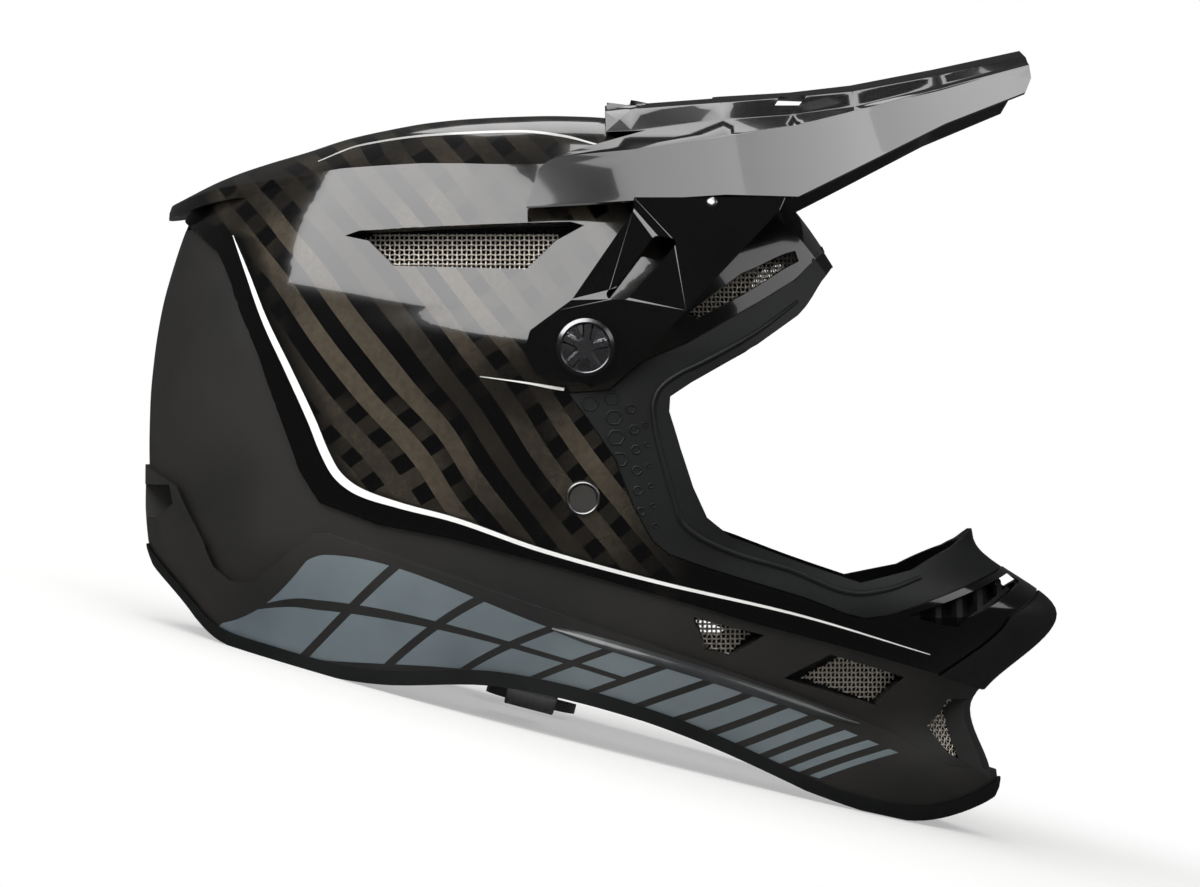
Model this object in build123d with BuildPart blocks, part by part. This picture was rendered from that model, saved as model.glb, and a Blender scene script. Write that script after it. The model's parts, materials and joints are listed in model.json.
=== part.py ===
from build123d import *
import math
import os
from functools import lru_cache

os.makedirs("parts", exist_ok=True)

# Driving sizes of the helmet as it sits level on a head, in millimetres:
# X runs forward, Y to the rider's left, Z up
shell_length = 363.2
shell_height = 281.2
shell_width = 230.0
roof_radius = 180.0
shell_wall = 3.0
overlay_wall = 2.0
bond_gap = 0.3
band_rise = 2.5
foam_wall = 25.0
cheek_foam_wall = 19.0
chin_foam_wall = 13.0
lining_wall = 8.0
# The helmet stands nose up by this angle on the chin and the back of its rim
tip_angle = 14.62
overrun = 10.0
fit_gap = 0.3
touch_gap = 0.1

# Side outlines are written in the pixels of a side view taken from this distance
view_distance = 2200.0
length_pixels = 908.0
height_pixels = 703.0
centre_pixel = (600.0, 443.0)
widest_pixel = 550.0
mm_along = shell_length / length_pixels
mm_up = shell_height / height_pixels
half_width = shell_width / 2

# Wall sections from the chin up: level, rear and front in pixels, then how wide the
# section is and how blunt its nose, as shares of the half width
wall_levels = [
    (840, 245, 950, 0.760, 0.40),
    (778, 232, 991, 0.820, 0.40),
    (708, 216, 970, 0.880, 0.36),
    (613, 186, 1051, 0.930, 0.34),
    (538, 155, 969, 0.960, 0.45),
    (493, 151, 963, 0.977, 0.46),
    (448, 150, 955, 0.990, 0.48),
    (403, 151, 941, 0.998, 0.49),
    (358, 155, 925, 1.000, 0.50),
    (313, 162, 906, 0.975, 0.53),
    (268, 174, 885, 0.930, 0.55),
    (223, 190, 866, 0.860, 0.55),
    (178, 215, 845, 0.760, 0.55),
    (133, 250, 820, 0.640, 0.55),
    (88, 290, 790, 0.500, 0.55),
]
chin_levels = 5
nose_reach_share = 0.50
tail_share = 0.55
# Crown of the shell along the middle from back to front, in pixels
roof_line = [(150, 225), (190, 204), (230, 184), (270, 170), (310, 158), (350, 145), (390, 136),
             (430, 129), (470, 125), (510, 123), (550, 122), (590, 123), (630, 127), (670, 137),
             (710, 151), (750, 175), (790, 212), (830, 268), (870, 345), (1100, 480)]
roof_half_share = 1.45


def depth_scale(y):
    """How much smaller the side view shows what stands y nearer to it."""
    return 1 - abs(y) / view_distance


def at_middle(point, y=0):
    """X and Z of a side view pixel that shows a place y off the middle plane."""
    x = (point[0] - centre_pixel[0]) * mm_along
    z = (centre_pixel[1] - point[1]) * mm_up
    return x * depth_scale(y), z * depth_scale(y)


def wall_half(point):
    """Half width of the walls where the side view shows them at this pixel."""
    levels = wall_levels[::-1]
    py = min(max(point[1], levels[0][0]), levels[-1][0])
    above, below = next(pair for pair in zip(levels, levels[1:]) if pair[0][0] <= py <= pair[1][0])
    share = (py - above[0]) / (below[0] - above[0])
    rear, front, wide = (a + (b - a) * share for a, b in zip(above[1:4], below[1:4]))
    reach = front - widest_pixel if point[0] > widest_pixel else widest_pixel - rear
    along = min(1, abs(point[0] - widest_pixel) / reach)
    return half_width * wide * math.sqrt(1 - along ** 2)


def at_side(point):
    """X and Z of a side view pixel that shows the outer wall of the helmet."""
    return at_middle(point, wall_half(point))


def wall_section(level, grow):
    """One level section of the walls, grown outwards, as four Bezier quarters."""
    py, rear, front, wide_share, nose_share = level
    x_rear, z = at_middle((rear, py))
    x_front = at_middle((front, py))[0] + grow
    x_wide = at_middle((widest_pixel, py))[0]
    x_rear = x_rear - grow
    half = half_width * wide_share + grow
    with BuildSketch(Plane.XY.offset(z)) as outline:
        with BuildLine():
            for side in (half, -half):
                Bezier((x_front, 0), (x_front, side * nose_share),
                       (x_wide + (x_front - x_wide) * nose_reach_share, side), (x_wide, side))
                Bezier((x_wide, side), (x_wide + (x_rear - x_wide) * tail_share, side),
                       (x_rear, side * tail_share), (x_rear, 0))
        make_face()
    return outline.sketch


def roof_section(point, grow):
    """One upright section under the arched roof, far wider than the helmet."""
    x, z = at_middle(point)
    top = z + grow
    half = half_width * roof_half_share
    eaves = top - roof_radius + math.sqrt(roof_radius ** 2 - half ** 2)
    with BuildSketch(Plane.YZ.offset(x)) as outline:
        with BuildLine():
            ThreePointArc((-half, eaves), (0, top), (half, eaves))
            Polyline((half, eaves), (half, -shell_height), (-half, -shell_height), (-half, eaves))
        make_face()
    return outline.sketch


@lru_cache(maxsize=None)
def roof_form(grow, step=2):
    """All that lies under the arched roof, its top moved outwards by grow."""
    stations = roof_line[:-2:step] + roof_line[-2:]
    with BuildPart() as form:
        loft([roof_section(point, grow) for point in stations], ruled=True)
    return form.part


@lru_cache(maxsize=None)
def body(grow, step=2):
    """The whole outer form moved outwards by grow, from all sections or every second or fourth."""
    levels = wall_levels[:chin_levels - 1] + wall_levels[chin_levels - 1:-1:step] + wall_levels[-1:]
    with BuildPart() as form:
        loft([wall_section(level, grow) for level in levels], ruled=True)
        add(roof_form(grow, step), mode=Mode.INTERSECT)
    return form.part


@lru_cache(maxsize=None)
def skin(outer, inner, outer_step=2, inner_step=2):
    """The closed layer of the form between two skins."""
    with BuildPart() as layer:
        add(body(outer, outer_step))
        add(body(inner, inner_step), mode=Mode.SUBTRACT)
    return layer.part


def face_of(points, place=at_side, radius=0.0, grow=0.0, plane=Plane.XZ):
    """A side view outline as a face, with round corners, grown by an offset."""
    with BuildSketch(plane) as outline:
        with BuildLine():
            Polyline(*[place(point) for point in points], close=True)
        make_face()
        if grow:
            offset(amount=grow, kind=Kind.INTERSECTION)
        if radius:
            fillet(outline.vertices(), radius)
    return outline.sketch


def prism(points, place=at_side, radius=0.0, grow=0.0):
    """A side view outline run right through the helmet from side to side."""
    with BuildPart() as block:
        extrude(face_of(points, place, radius, grow), amount=shell_width, both=True)
    return block.part


def common(part, other):
    """What two solids share."""
    with BuildPart() as shared:
        add(part)
        add(other, mode=Mode.INTERSECT)
    return shared.part


def less(part, *others):
    """What is left of a solid outside others."""
    with BuildPart() as rest:
        add(part)
        for other in others:
            add(other, mode=Mode.SUBTRACT)
    return rest.part


def both_sides(part):
    """A right hand solid and its mirror image."""
    with BuildPart() as pair:
        add(part)
        mirror(part, about=Plane.XZ)
    return pair.part


pieces = {}


def keep(name, part):
    """Labels a finished piece and keeps it for the writing at the end."""
    part.label = name
    pieces[name] = part


def keep_pair(name, part):
    """Keeps a right hand piece and its mirror image on the left."""
    keep(name + "_right", part)
    keep(name + "_left", mirror(part, about=Plane.XZ, mode=Mode.PRIVATE))


# Eye opening, and the outer edge of the wide soft frame around it
eyeport = [(836, 274), (797, 315), (757, 344), (700, 376), (670, 396), (669, 411), (679, 443),
           (693, 487), (707, 517), (732, 537), (773, 551), (860, 583), (915, 570), (956, 547),
           (969, 528), (1200, 500), (1200, 200)]
eyeport_frame = [(569, 393), (609, 390), (641, 362), (687, 343), (759, 302), (794, 281),
                 (830, 250), (1200, 170), (1200, 520), (1010, 563), (938, 595), (886, 615),
                 (865, 618), (842, 613), (801, 597), (709, 567), (670, 553), (653, 540),
                 (634, 506), (614, 456), (588, 418)]
frame_wall = 1.4
frame_edge = 1.8
frame_grip = 8.0

# Lower edge of the rim from the back of the neck to the chin
rim_line = [(60, 520), (160, 566), (190, 605), (215, 635), (260, 655), (320, 673), (390, 684),
            (480, 684), (546, 694), (718, 749), (867, 813), (919, 820), (974, 802), (1100, 740)]
rim_edge = 1.8
rim_height = 5.7
rim_wall = 1.2
rest_flat = 0.5
frame_seam = 0.4

# Gloss overlay: rear and lower edge, the seam of the chin piece, then clear of the helmet
overlay_edge = [(182, 214), (220, 253), (232, 281), (261, 360), (300, 470), (320, 502), (378, 524),
                (450, 538), (562, 567), (800, 636), (941, 674), (1031, 586), (1014, 540),
                (1100, 300), (1000, 40), (60, 40), (60, 190)]
chin_piece = [(944, 676), (1033, 588), (1050, 560), (1200, 560), (1200, 700), (988, 688)]
overlay_top = bond_gap + overlay_wall
rear_lip_pixel = 173
rear_lip_field = [(60, 40), (60, 300), (330, 300), (330, 40)]
rear_lip_half = 86.0
rear_lip_depth = 3.0

# Top of the raised band round the lower edge, then clear of the helmet
band_edge = [(60, 440), (149, 463), (179, 485), (218, 567), (233, 580), (253, 583), (313, 533),
             (329, 533), (562, 614), (800, 694), (900, 735), (945, 766), (1200, 800), (1200, 900),
             (60, 900)]

# Vents: opening at the surface, then the mesh at the foot of its sloping walls
side_vent = ([(326, 234), (345, 227), (577, 218), (592, 222), (557, 240), (527, 269), (393, 266), (368, 240)],
             [(369, 238), (378, 236), (548, 235), (556, 237), (553, 243), (524, 267), (396, 264), (372, 242)])
brow_vent = ([(686, 314), (740, 272), (798, 246), (802, 262), (742, 297), (697, 319)],
             [(693, 309), (742, 276), (793, 254), (796, 261), (744, 289), (700, 312)])
cheek_vent = ([(689, 614), (778, 636), (727, 661), (698, 654)],
              [(702, 623), (747, 634), (727, 652), (709, 645)])
chin_vent = ([(780, 678), (821, 652), (932, 680), (893, 717)],
             [(811, 678), (843, 661), (897, 676), (873, 699)])
front_vent = [(930, 726), (955, 699), (1040, 699), (1040, 780), (995, 780), (950, 755)]
rear_vent = [(120, 483), (172, 484), (176, 503), (160, 516), (120, 516)]
exhaust_vent = [(120, 214), (224, 216), (224, 232), (120, 232)]
chin_slot = [(908, 615), (1006, 571), (1014, 580), (955, 628), (940, 626)]
vent_depth = 5.0
mesh_wall = 1.0
mesh_lap = 1.5
strut_half = 14.0
exhaust_half = 48.0
exhaust_rib_half = 3.0


def right_prism(points, place=at_side, grow=0.0, inner=0.0):
    """A side view outline run out to the right from a distance off the middle plane."""
    with BuildPart() as block:
        extrude(face_of(points, place, 0.0, grow, Plane.XZ.offset(inner)), amount=shell_width)
    return block.part


def vent_cutter(vent, extra=0.0):
    """The tapered hole of one vent and its mirror image."""
    opening, mesh = vent
    halves = [wall_half(point) for point in opening]
    outside = max(halves) + overlay_wall + overrun / 2
    inside = min(halves) - shell_wall - vent_depth - overrun
    with BuildPart() as cutter:
        loft([face_of(opening, grow=extra, plane=Plane.XZ.offset(outside)),
              face_of(mesh, grow=extra, plane=Plane.XZ.offset(inside))], ruled=True)
    return both_sides(cutter.part)


def under_rim(raised):
    """All that lies below the rim line moved up by this much."""
    with BuildPart() as block:
        with BuildSketch(Plane.XZ):
            with BuildLine():
                edge = [(x, z + raised) for x, z in (at_side(point) for point in rim_line)]
                line = Spline(*edge)
                Polyline(line @ 1, (edge[-1][0], -shell_height), (edge[0][0], -shell_height), line @ 0)
            make_face()
        extrude(amount=shell_width, both=True)
    return block.part


# Hardware places and sizes
pivot_pixel = (585.6, 347.5)
rivet_pixel = (583, 498)
crown_screw_pixel = (640, 129.5)
pivot_x, pivot_z = at_side(pivot_pixel)
rivet_x, rivet_z = at_side(rivet_pixel)
crown_x, crown_z = at_middle(crown_screw_pixel)
nut_barrel_radius = 5.0
nut_flange_radius = 9.0
nut_flange_wall = 2.0
nut_boss_radius = 11.5
nut_boss_inside = 108.2
screw_radius = 3.0
screw_gap = 0.05
crown_nut_radius = 4.0
crown_nut_gap = 1.0
crown_flange_radius = 7.0
rivet_radius = 2.4
rivet_head_radius = 5.1
rivet_washer_radius = 6.2
rivet_seat_drop = 0.6


def cross_pin(x, z, radius, start, end):
    """A round bar along Y on the right, from one distance off the middle plane to another."""
    with BuildPart() as bar:
        with BuildSketch(Plane.XZ.offset(start)):
            with Locations((x, z)):
                Circle(radius)
        extrude(amount=end - start)
    return bar.part


# The crown screw points at the visor's pivot line, this far above it at the gloss surface
crown_reach = math.hypot(crown_x - pivot_x, crown_z + overlay_top - pivot_z)
crown_angle = math.degrees(math.atan2(crown_z + overlay_top - pivot_z, crown_x - pivot_x))


def crown_disc(radius, start, end):
    """A round bar on the crown screw's line between two distances from the pivot line."""
    out = (math.cos(math.radians(crown_angle)), 0, math.sin(math.radians(crown_angle)))
    base = (pivot_x + out[0] * start, 0, pivot_z + out[2] * start)
    with BuildPart() as bar:
        with BuildSketch(Plane(origin=base, x_dir=(0, 1, 0), z_dir=out)):
            Circle(radius)
        extrude(amount=end - start)
    return bar.part


vents = (side_vent, brow_vent, cheek_vent, chin_vent)
vent_holes = [vent_cutter(vent) for vent in vents]
boss_outlines = [vent[0] for vent in vents] + [front_vent, rear_vent]
mesh_depth = shell_wall + vent_depth + touch_gap
front_vent_hole = both_sides(right_prism(front_vent, inner=strut_half))
rear_vent_hole = both_sides(right_prism(rear_vent, inner=strut_half))
with BuildPart() as exhaust_hole:
    add(prism(exhaust_vent, at_middle))
    for side in (1, -1):
        with BuildSketch(Plane.XY.offset(-shell_height)):
            with Locations((-shell_length / 2, side * (exhaust_half + exhaust_rib_half) / 2)):
                Rectangle(shell_length / 2, exhaust_half - exhaust_rib_half)
    extrude(amount=shell_height * 2, mode=Mode.INTERSECT)
through_pivot = both_sides(cross_pin(pivot_x, pivot_z, nut_barrel_radius + touch_gap, 0, shell_width))
through_rivet = both_sides(cross_pin(rivet_x, rivet_z, rivet_radius + touch_gap, 0, shell_width))
through_crown = crown_disc(crown_nut_radius + touch_gap, crown_reach - overrun, crown_reach + overrun)
rivet_seat = wall_half(rivet_pixel) + overlay_top - rivet_seat_drop
rivet_flat = both_sides(cross_pin(rivet_x, rivet_z, rivet_washer_radius + fit_gap, rivet_seat, shell_width))

# Structural shell: one skin with the raised band, sunk vents and the chin strut
with BuildPart() as band:
    add(skin(band_rise, -shell_wall / 2))
    add(prism(band_edge), mode=Mode.INTERSECT)

with BuildPart() as boss_field:
    for outline in boss_outlines:
        add(prism(outline, grow=shell_wall))

vent_bosses = common(skin(-shell_wall / 2, -shell_wall - vent_depth), boss_field.part)
nut_bosses = common(both_sides(cross_pin(pivot_x, pivot_z, nut_boss_radius, nut_boss_inside, shell_width)),
                    body(-shell_wall / 2))

with BuildPart() as base_shell:
    add(skin(0.0, -shell_wall))
    add(band.part)
    add(vent_bosses)
    add(nut_bosses)
    for cutter in vent_holes + [front_vent_hole, rear_vent_hole, exhaust_hole.part,
                                through_pivot, through_rivet, through_crown]:
        add(cutter, mode=Mode.SUBTRACT)
    add(prism(eyeport, grow=frame_edge + touch_gap), mode=Mode.SUBTRACT)
    add(prism(chin_slot), mode=Mode.SUBTRACT)
    add(under_rim(rim_edge + touch_gap), mode=Mode.SUBTRACT)
keep("base_shell", base_shell.part)

# Gloss overlay bonded to the shell, with the lip that stands out behind the crown
with BuildPart() as rear_lip:
    with BuildSketch(Plane.XY.offset(-shell_height)):
        with Locations((at_middle((widest_pixel, 0))[0], 0)):
            Ellipse((widest_pixel - rear_lip_pixel) * mm_along, rear_lip_half)
    extrude(amount=shell_height * 2)
    add(roof_form(overlay_top, step=1), mode=Mode.INTERSECT)
    add(roof_form(-rear_lip_depth), mode=Mode.SUBTRACT)
    add(prism(rear_lip_field, at_middle), mode=Mode.INTERSECT)
    add(body(bond_gap), mode=Mode.SUBTRACT)

with BuildPart() as carbon_overlay:
    add(skin(overlay_top, bond_gap, outer_step=1))
    add(prism(overlay_edge), mode=Mode.INTERSECT)
    add(rear_lip.part)
    for cutter in vent_holes + [through_pivot, through_rivet, through_crown, rivet_flat]:
        add(cutter, mode=Mode.SUBTRACT)
    add(prism(eyeport_frame, grow=frame_seam), mode=Mode.SUBTRACT)
    add(prism(chin_slot), mode=Mode.SUBTRACT)
keep("carbon_overlay", carbon_overlay.part)

with BuildPart() as chin_vent_panel:
    add(skin(overlay_top, bond_gap, outer_step=1))
    add(prism(chin_piece), mode=Mode.INTERSECT)
keep("chin_vent_panel", chin_vent_panel.part)

# Soft frame of the eye opening: it wraps the cut edge of the shell
with BuildPart() as eyeport_trim:
    add(skin(bond_gap + frame_wall, -shell_wall - bond_gap - frame_wall))
    add(prism(eyeport_frame), mode=Mode.INTERSECT)
    add(prism(eyeport), mode=Mode.SUBTRACT)
    add(less(skin(bond_gap, -shell_wall - bond_gap), prism(eyeport, grow=frame_edge)), mode=Mode.SUBTRACT)
    add(less(body(-shell_wall - bond_gap), prism(eyeport, grow=frame_grip)), mode=Mode.SUBTRACT)
keep("eyeport_trim", eyeport_trim.part)

# Soft trim that wraps the lower rim and carries the standing helmet
with BuildPart() as rim_trim:
    add(skin(band_rise + touch_gap + rim_wall, -shell_wall - touch_gap - rim_wall))
    add(under_rim(rim_height), mode=Mode.INTERSECT)
    add(under_rim(0), mode=Mode.SUBTRACT)
    add(less(skin(band_rise + touch_gap, -shell_wall - touch_gap), under_rim(rim_edge)), mode=Mode.SUBTRACT)

# The trim is pressed flat where the helmet stands on it
stand_up = Vector(math.sin(math.radians(tip_angle)), 0, math.cos(math.radians(tip_angle)))
rest_level = (Rotation(0, -tip_angle, 0) * rim_trim.part).bounding_box().min.Z + rest_flat
rest_plane = Plane(origin=stand_up * rest_level, x_dir=(0, 1, 0), z_dir=stand_up)
with BuildPart() as worn_trim:
    add(rim_trim.part)
    split(bisect_by=rest_plane, keep=Keep.TOP)
keep("rim_trim", worn_trim.part)

# Wire meshes behind the vents
mesh_layer = skin(-mesh_depth, -mesh_depth - mesh_wall)
for name, outline in (("side_vent_mesh", side_vent[1]), ("brow_vent_mesh", brow_vent[1]),
                      ("cheek_vent_mesh", cheek_vent[1]), ("chin_vent_mesh", chin_vent[1]),
                      ("front_vent_mesh", front_vent), ("rear_vent_mesh", rear_vent)):
    with BuildPart() as mesh:
        add(mesh_layer)
        add(right_prism(outline, grow=mesh_lap, inner=strut_half - mesh_lap), mode=Mode.INTERSECT)
    keep_pair(name, mesh.part)

exhaust_width = (exhaust_half + mesh_lap) * 2
with BuildPart() as exhaust_mesh:
    add(mesh_layer)
    add(prism(exhaust_vent, at_middle, grow=mesh_lap), mode=Mode.INTERSECT)
    with BuildSketch(Plane.XY.offset(-shell_height)):
        Rectangle(shell_length * 2, exhaust_width)
    extrude(amount=shell_height * 2, mode=Mode.INTERSECT)
keep("rear_exhaust_mesh", exhaust_mesh.part)


# Chin slot louvres: a backing plate with slats left between its windows
louvre_wall = 1.6
louvre_count = 4
louvre_bar = 2.4
slot_x_rear, slot_z_rear = at_side(chin_slot[0])
slot_x_front = at_side(chin_slot[1])[0]
slot_pitch = (slot_x_front - slot_x_rear) / (louvre_count + 1)
with BuildPart() as louvre_windows:
    with BuildSketch(Plane.XZ.offset(strut_half)):
        for index in range(louvre_count + 1):
            with Locations((slot_x_rear + slot_pitch * (index + 1), slot_z_rear)):
                Rectangle(slot_pitch - louvre_bar, shell_height)
    extrude(amount=shell_width)
    add(prism(chin_slot, grow=-touch_gap), mode=Mode.INTERSECT)

with BuildPart() as chin_louvre:
    add(skin(-shell_wall - touch_gap, -shell_wall - touch_gap - louvre_wall))
    add(right_prism(chin_slot, grow=mesh_lap, inner=strut_half), mode=Mode.INTERSECT)
    add(louvre_windows.part, mode=Mode.SUBTRACT)
keep_pair("chin_slot_louvre", chin_louvre.part)

# Impact foam: crown, cheeks and chin bar, with channels behind the vents
foam_top = -shell_wall - fit_gap
chin_foam_top = -mesh_depth - mesh_wall - fit_gap
crown_outline = [(60, 60), (780, 40), (860, 230), (832, 237), (795, 280), (754, 312), (690, 345),
                 (638, 374), (638, 455), (400, 470), (330, 560), (260, 600), (180, 560), (60, 500)]
cheek_outline = [(350, 566), (405, 478), (638, 463), (658, 500), (672, 550), (674, 620), (668, 700),
                 (560, 660), (420, 645), (350, 628)]
chin_outline = [(718, 578), (765, 583), (860, 614), (925, 602), (980, 574), (1200, 562), (1200, 776),
                (960, 776), (867, 776), (718, 708)]
channel_gap = 2.0
snap_radius = 4.5
snap_reach = 4.0
snap_pixels = [(450, 530), (560, 520), (600, 620)]
liner_snap_pixels = [(450, 330), (560, 420)]
strap_half = 10.0
strap_wall = 1.8
strap_pocket_wall = 7.5


def snap_pins(places, seat, radius):
    """Press studs across the face where two soft or foam pieces meet, on the right."""
    with BuildPart() as pins:
        for place in places:
            x, z = at_side(place)
            face = wall_half(place) - seat
            add(cross_pin(x, z, radius, face - snap_reach, face + snap_reach))
    return pins.part


def slab(points, outer, inner, side_only=False):
    """A hidden layer of the form cut to a side outline, on the right or right round."""
    with BuildPart() as layer:
        add(skin(outer, inner, outer_step=4, inner_step=4))
        add(right_prism(points) if side_only else prism(points), mode=Mode.INTERSECT)
    return layer.part


crown_inside = foam_top - foam_wall
cheek_inside = foam_top - cheek_foam_wall
liner_snap_holes = both_sides(snap_pins(liner_snap_pixels, -crown_inside, snap_radius + touch_gap))
cheek_snap_holes = snap_pins(snap_pixels, -cheek_inside, snap_radius + touch_gap)
nut_inside = nut_boss_inside - touch_gap - nut_flange_wall
nut_pocket = cross_pin(pivot_x, pivot_z, nut_boss_radius + channel_gap, nut_inside - channel_gap, shell_width)
crown_nut_inside = crown_reach - overlay_top - shell_wall - crown_nut_gap - nut_flange_wall
anchor_pocket = cross_pin(rivet_x, rivet_z, rivet_washer_radius + channel_gap * 2,
                          wall_half(rivet_pixel) - shell_wall - strap_pocket_wall * 1.5, shell_width)

with BuildPart() as eps_crown:
    add(slab(crown_outline, foam_top, crown_inside))
    for outline in (side_vent[0], brow_vent[0], rear_vent):
        add(prism(outline, grow=shell_wall + channel_gap), mode=Mode.SUBTRACT)
    add(prism(exhaust_vent, at_middle, grow=channel_gap), mode=Mode.SUBTRACT)
    add(both_sides(nut_pocket), mode=Mode.SUBTRACT)
    add(crown_disc(crown_flange_radius + channel_gap, crown_nut_inside - channel_gap, crown_reach),
        mode=Mode.SUBTRACT)
    add(liner_snap_holes, mode=Mode.SUBTRACT)
keep("eps_crown", eps_crown.part)

with BuildPart() as strap_channel:
    add(skin(foam_top + overrun, foam_top - strap_pocket_wall, outer_step=4, inner_step=4))
    with BuildSketch(Plane.XZ):
        with Locations((rivet_x, rivet_z)):
            Rectangle(strap_half * 3, shell_height, rotation=-tip_angle)
    extrude(amount=shell_width, mode=Mode.INTERSECT)

with BuildPart() as eps_cheek:
    add(slab(cheek_outline, foam_top, cheek_inside, side_only=True))
    add(strap_channel.part, mode=Mode.SUBTRACT)
    add(anchor_pocket, mode=Mode.SUBTRACT)
    add(cheek_snap_holes, mode=Mode.SUBTRACT)
keep_pair("eps_cheek", eps_cheek.part)

with BuildPart() as eps_chin:
    add(slab(chin_outline, chin_foam_top, chin_foam_top - chin_foam_wall))
    for outline in (cheek_vent[1], chin_vent[1]):
        add(prism(outline), mode=Mode.SUBTRACT)
keep("eps_chin", eps_chin.part)

# Soft lining: crown liner with channels, neck roll, chin pad and cheek pads
liner_outline = [(60, 60), (760, 60), (770, 250), (740, 310), (650, 355), (615, 380), (615, 440),
                 (405, 455), (330, 535), (240, 560), (60, 470)]
neck_outline = [(60, 514), (180, 576), (262, 616), (338, 578), (340, 650), (300, 672), (60, 672)]
chin_pad_outline = [(735, 600), (860, 628), (925, 616), (1200, 590), (1200, 740), (960, 740),
                    (860, 735), (735, 690)]
lining_gap = 0.3
liner_channel = 8.0
liner_channel_length = 150.0
liner_channel_ends = 100.0
liner_inside = crown_inside - lining_gap - lining_wall
neck_roll_wall = 18.0
neck_roll_depth = 4.8
chin_pad_wall = 6.0

with BuildPart() as channels:
    with BuildSketch():
        for side in (-3, -1, 1, 3):
            length = liner_channel_length if abs(side) == 1 else liner_channel_ends
            with Locations((at_middle((widest_pixel, 0))[0], side * liner_channel * 2)):
                SlotOverall(length, liner_channel)
    extrude(amount=shell_height)

with BuildPart() as comfort_liner:
    add(slab(liner_outline, crown_inside - lining_gap, liner_inside))
    add(channels.part, mode=Mode.SUBTRACT)
    add(liner_snap_holes, mode=Mode.SUBTRACT)
keep("comfort_liner", comfort_liner.part)
keep("liner_snaps", both_sides(snap_pins(liner_snap_pixels, -crown_inside, snap_radius)))

with BuildPart() as neck_roll:
    add(slab(neck_outline, -neck_roll_depth, -neck_roll_depth - neck_roll_wall))
    add(under_rim(rim_edge), mode=Mode.SUBTRACT)
keep("neck_roll", neck_roll.part)

with BuildPart() as chin_pad:
    add(slab(chin_pad_outline, chin_foam_top - chin_foam_wall - lining_gap,
             chin_foam_top - chin_foam_wall - lining_gap - chin_pad_wall))
keep("chin_pad", chin_pad.part)

cheek_pad_outline = [(415, 497), (640, 482), (684, 566), (690, 690), (560, 660), (425, 640)]
cheek_pad_corner = 9.0
cheek_pad_inner = 60.0
cheek_pad_shoulder = 68.0
cheek_pad_outer = 96.0
cheek_pad_crown_share = 0.82
cheek_seam_width = 2.4
cheek_seam_depth = 3.0


def pad_face(distance, share):
    """The cheek pad's outline at a distance off the middle plane, drawn in about its middle."""
    points = [at_side(point) for point in cheek_pad_outline]
    middle_x = sum(x for x, z in points) / len(points)
    middle_z = sum(z for x, z in points) / len(points)
    with BuildSketch(Plane.XZ.offset(distance)) as outline:
        with BuildLine():
            Polyline(*[(middle_x + (x - middle_x) * share, middle_z + (z - middle_z) * share)
                       for x, z in points], close=True)
        make_face()
        fillet(outline.vertices(), cheek_pad_corner * share)
    return outline.sketch


with BuildPart() as cheek_pad:
    loft([pad_face(cheek_pad_outer, 1), pad_face(cheek_pad_shoulder, 1),
          pad_face(cheek_pad_inner, cheek_pad_crown_share)], ruled=True)
    add(body(cheek_inside - lining_gap, step=4), mode=Mode.INTERSECT)
    with BuildSketch(Plane.XZ.offset(cheek_pad_inner - overrun)):
        with Locations(at_side(snap_pixels[1])):
            Rectangle(cheek_seam_width, shell_height, rotation=tip_angle)
    extrude(amount=overrun + cheek_seam_depth, mode=Mode.SUBTRACT)
    add(cheek_snap_holes, mode=Mode.SUBTRACT)
keep_pair("cheek_pad", cheek_pad.part)
keep_pair("cheek_snaps", snap_pins(snap_pixels, -cheek_inside, snap_radius))


# Visor: a folded sheet through stations from back to front. Each station gives, from the
# spine outwards, pixel height and share of the half width of every fold
visor_folds = [
    (530, [(112, 0.0), (118, 0.31), (134, 0.56), (159, 0.81), (167, 0.84), (206, 0.93)]),
    (630, [(103, 0.0), (109, 0.30), (130, 0.54), (149, 0.79), (157, 0.83), (200, 0.925)]),
    (720, [(96, 0.0), (102, 0.24), (119, 0.45), (136, 0.70), (146, 0.73), (194, 0.92)]),
    (789, [(92, 0.0), (97, 0.22), (114, 0.38), (125, 0.59), (129, 0.61), (196, 0.91)]),
    (850, [(85, 0.0), (91, 0.19), (106, 0.33), (110, 0.48), (113, 0.50), (165, 0.826)]),
    (933, [(69, 0.0), (75, 0.17), (86, 0.295), (88, 0.40), (90, 0.42), (123, 0.69)]),
    (1030, [(48, 0.0), (54, 0.15), (59, 0.24), (62, 0.33), (64, 0.345), (85, 0.54)]),
]
visor_side = [(500, 240), (530, 197), (539, 170), (548, 162), (570, 152), (646, 129), (606, 130),
              (604, 60), (1014, 30), (1022, 61), (1021, 86), (1012, 104), (1012, 240)]
visor_arm = [(634, 190), (634, 208), (572, 299), (530, 330), (524, 352), (536, 374), (557, 381),
             (601, 384), (616, 378), (641, 358), (685, 311), (781, 208), (789, 190)]
visor_window = [(655, 234), (681, 238), (627, 299), (574, 299), (616, 287)]
visor_slot = [(770, 110), (779, 98), (805, 98), (796, 110)]
visor_wall = 2.5
washer_wall = 2.0
washer_clear = 0.7
pad_inside = half_width + overlay_top + washer_wall + washer_clear
arm_foot_pixel = 400
arm_top_half = 103.6
arm_top_pixel = 197
arm_bend_pixel = 310
arm_corner = 2.0
tilt_down = 5.0
tilt_up = 8.0
crown_washer_wall = 2.5
crown_washer_gap = 0.5
crown_screw_radius = 2.5
crown_head_radius = 5.8
crown_head_wall = 2.6
tongue_wall = 2.2
tongue_half = 12.0
tongue_margin = 2.0
tongue_inside = crown_reach + crown_washer_gap + crown_washer_wall + fit_gap * 2
tongue_outside = tongue_inside + tongue_wall
crown_slot_margin = math.degrees(crown_screw_radius / tongue_inside)
visor_run_gap = 0.8


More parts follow.
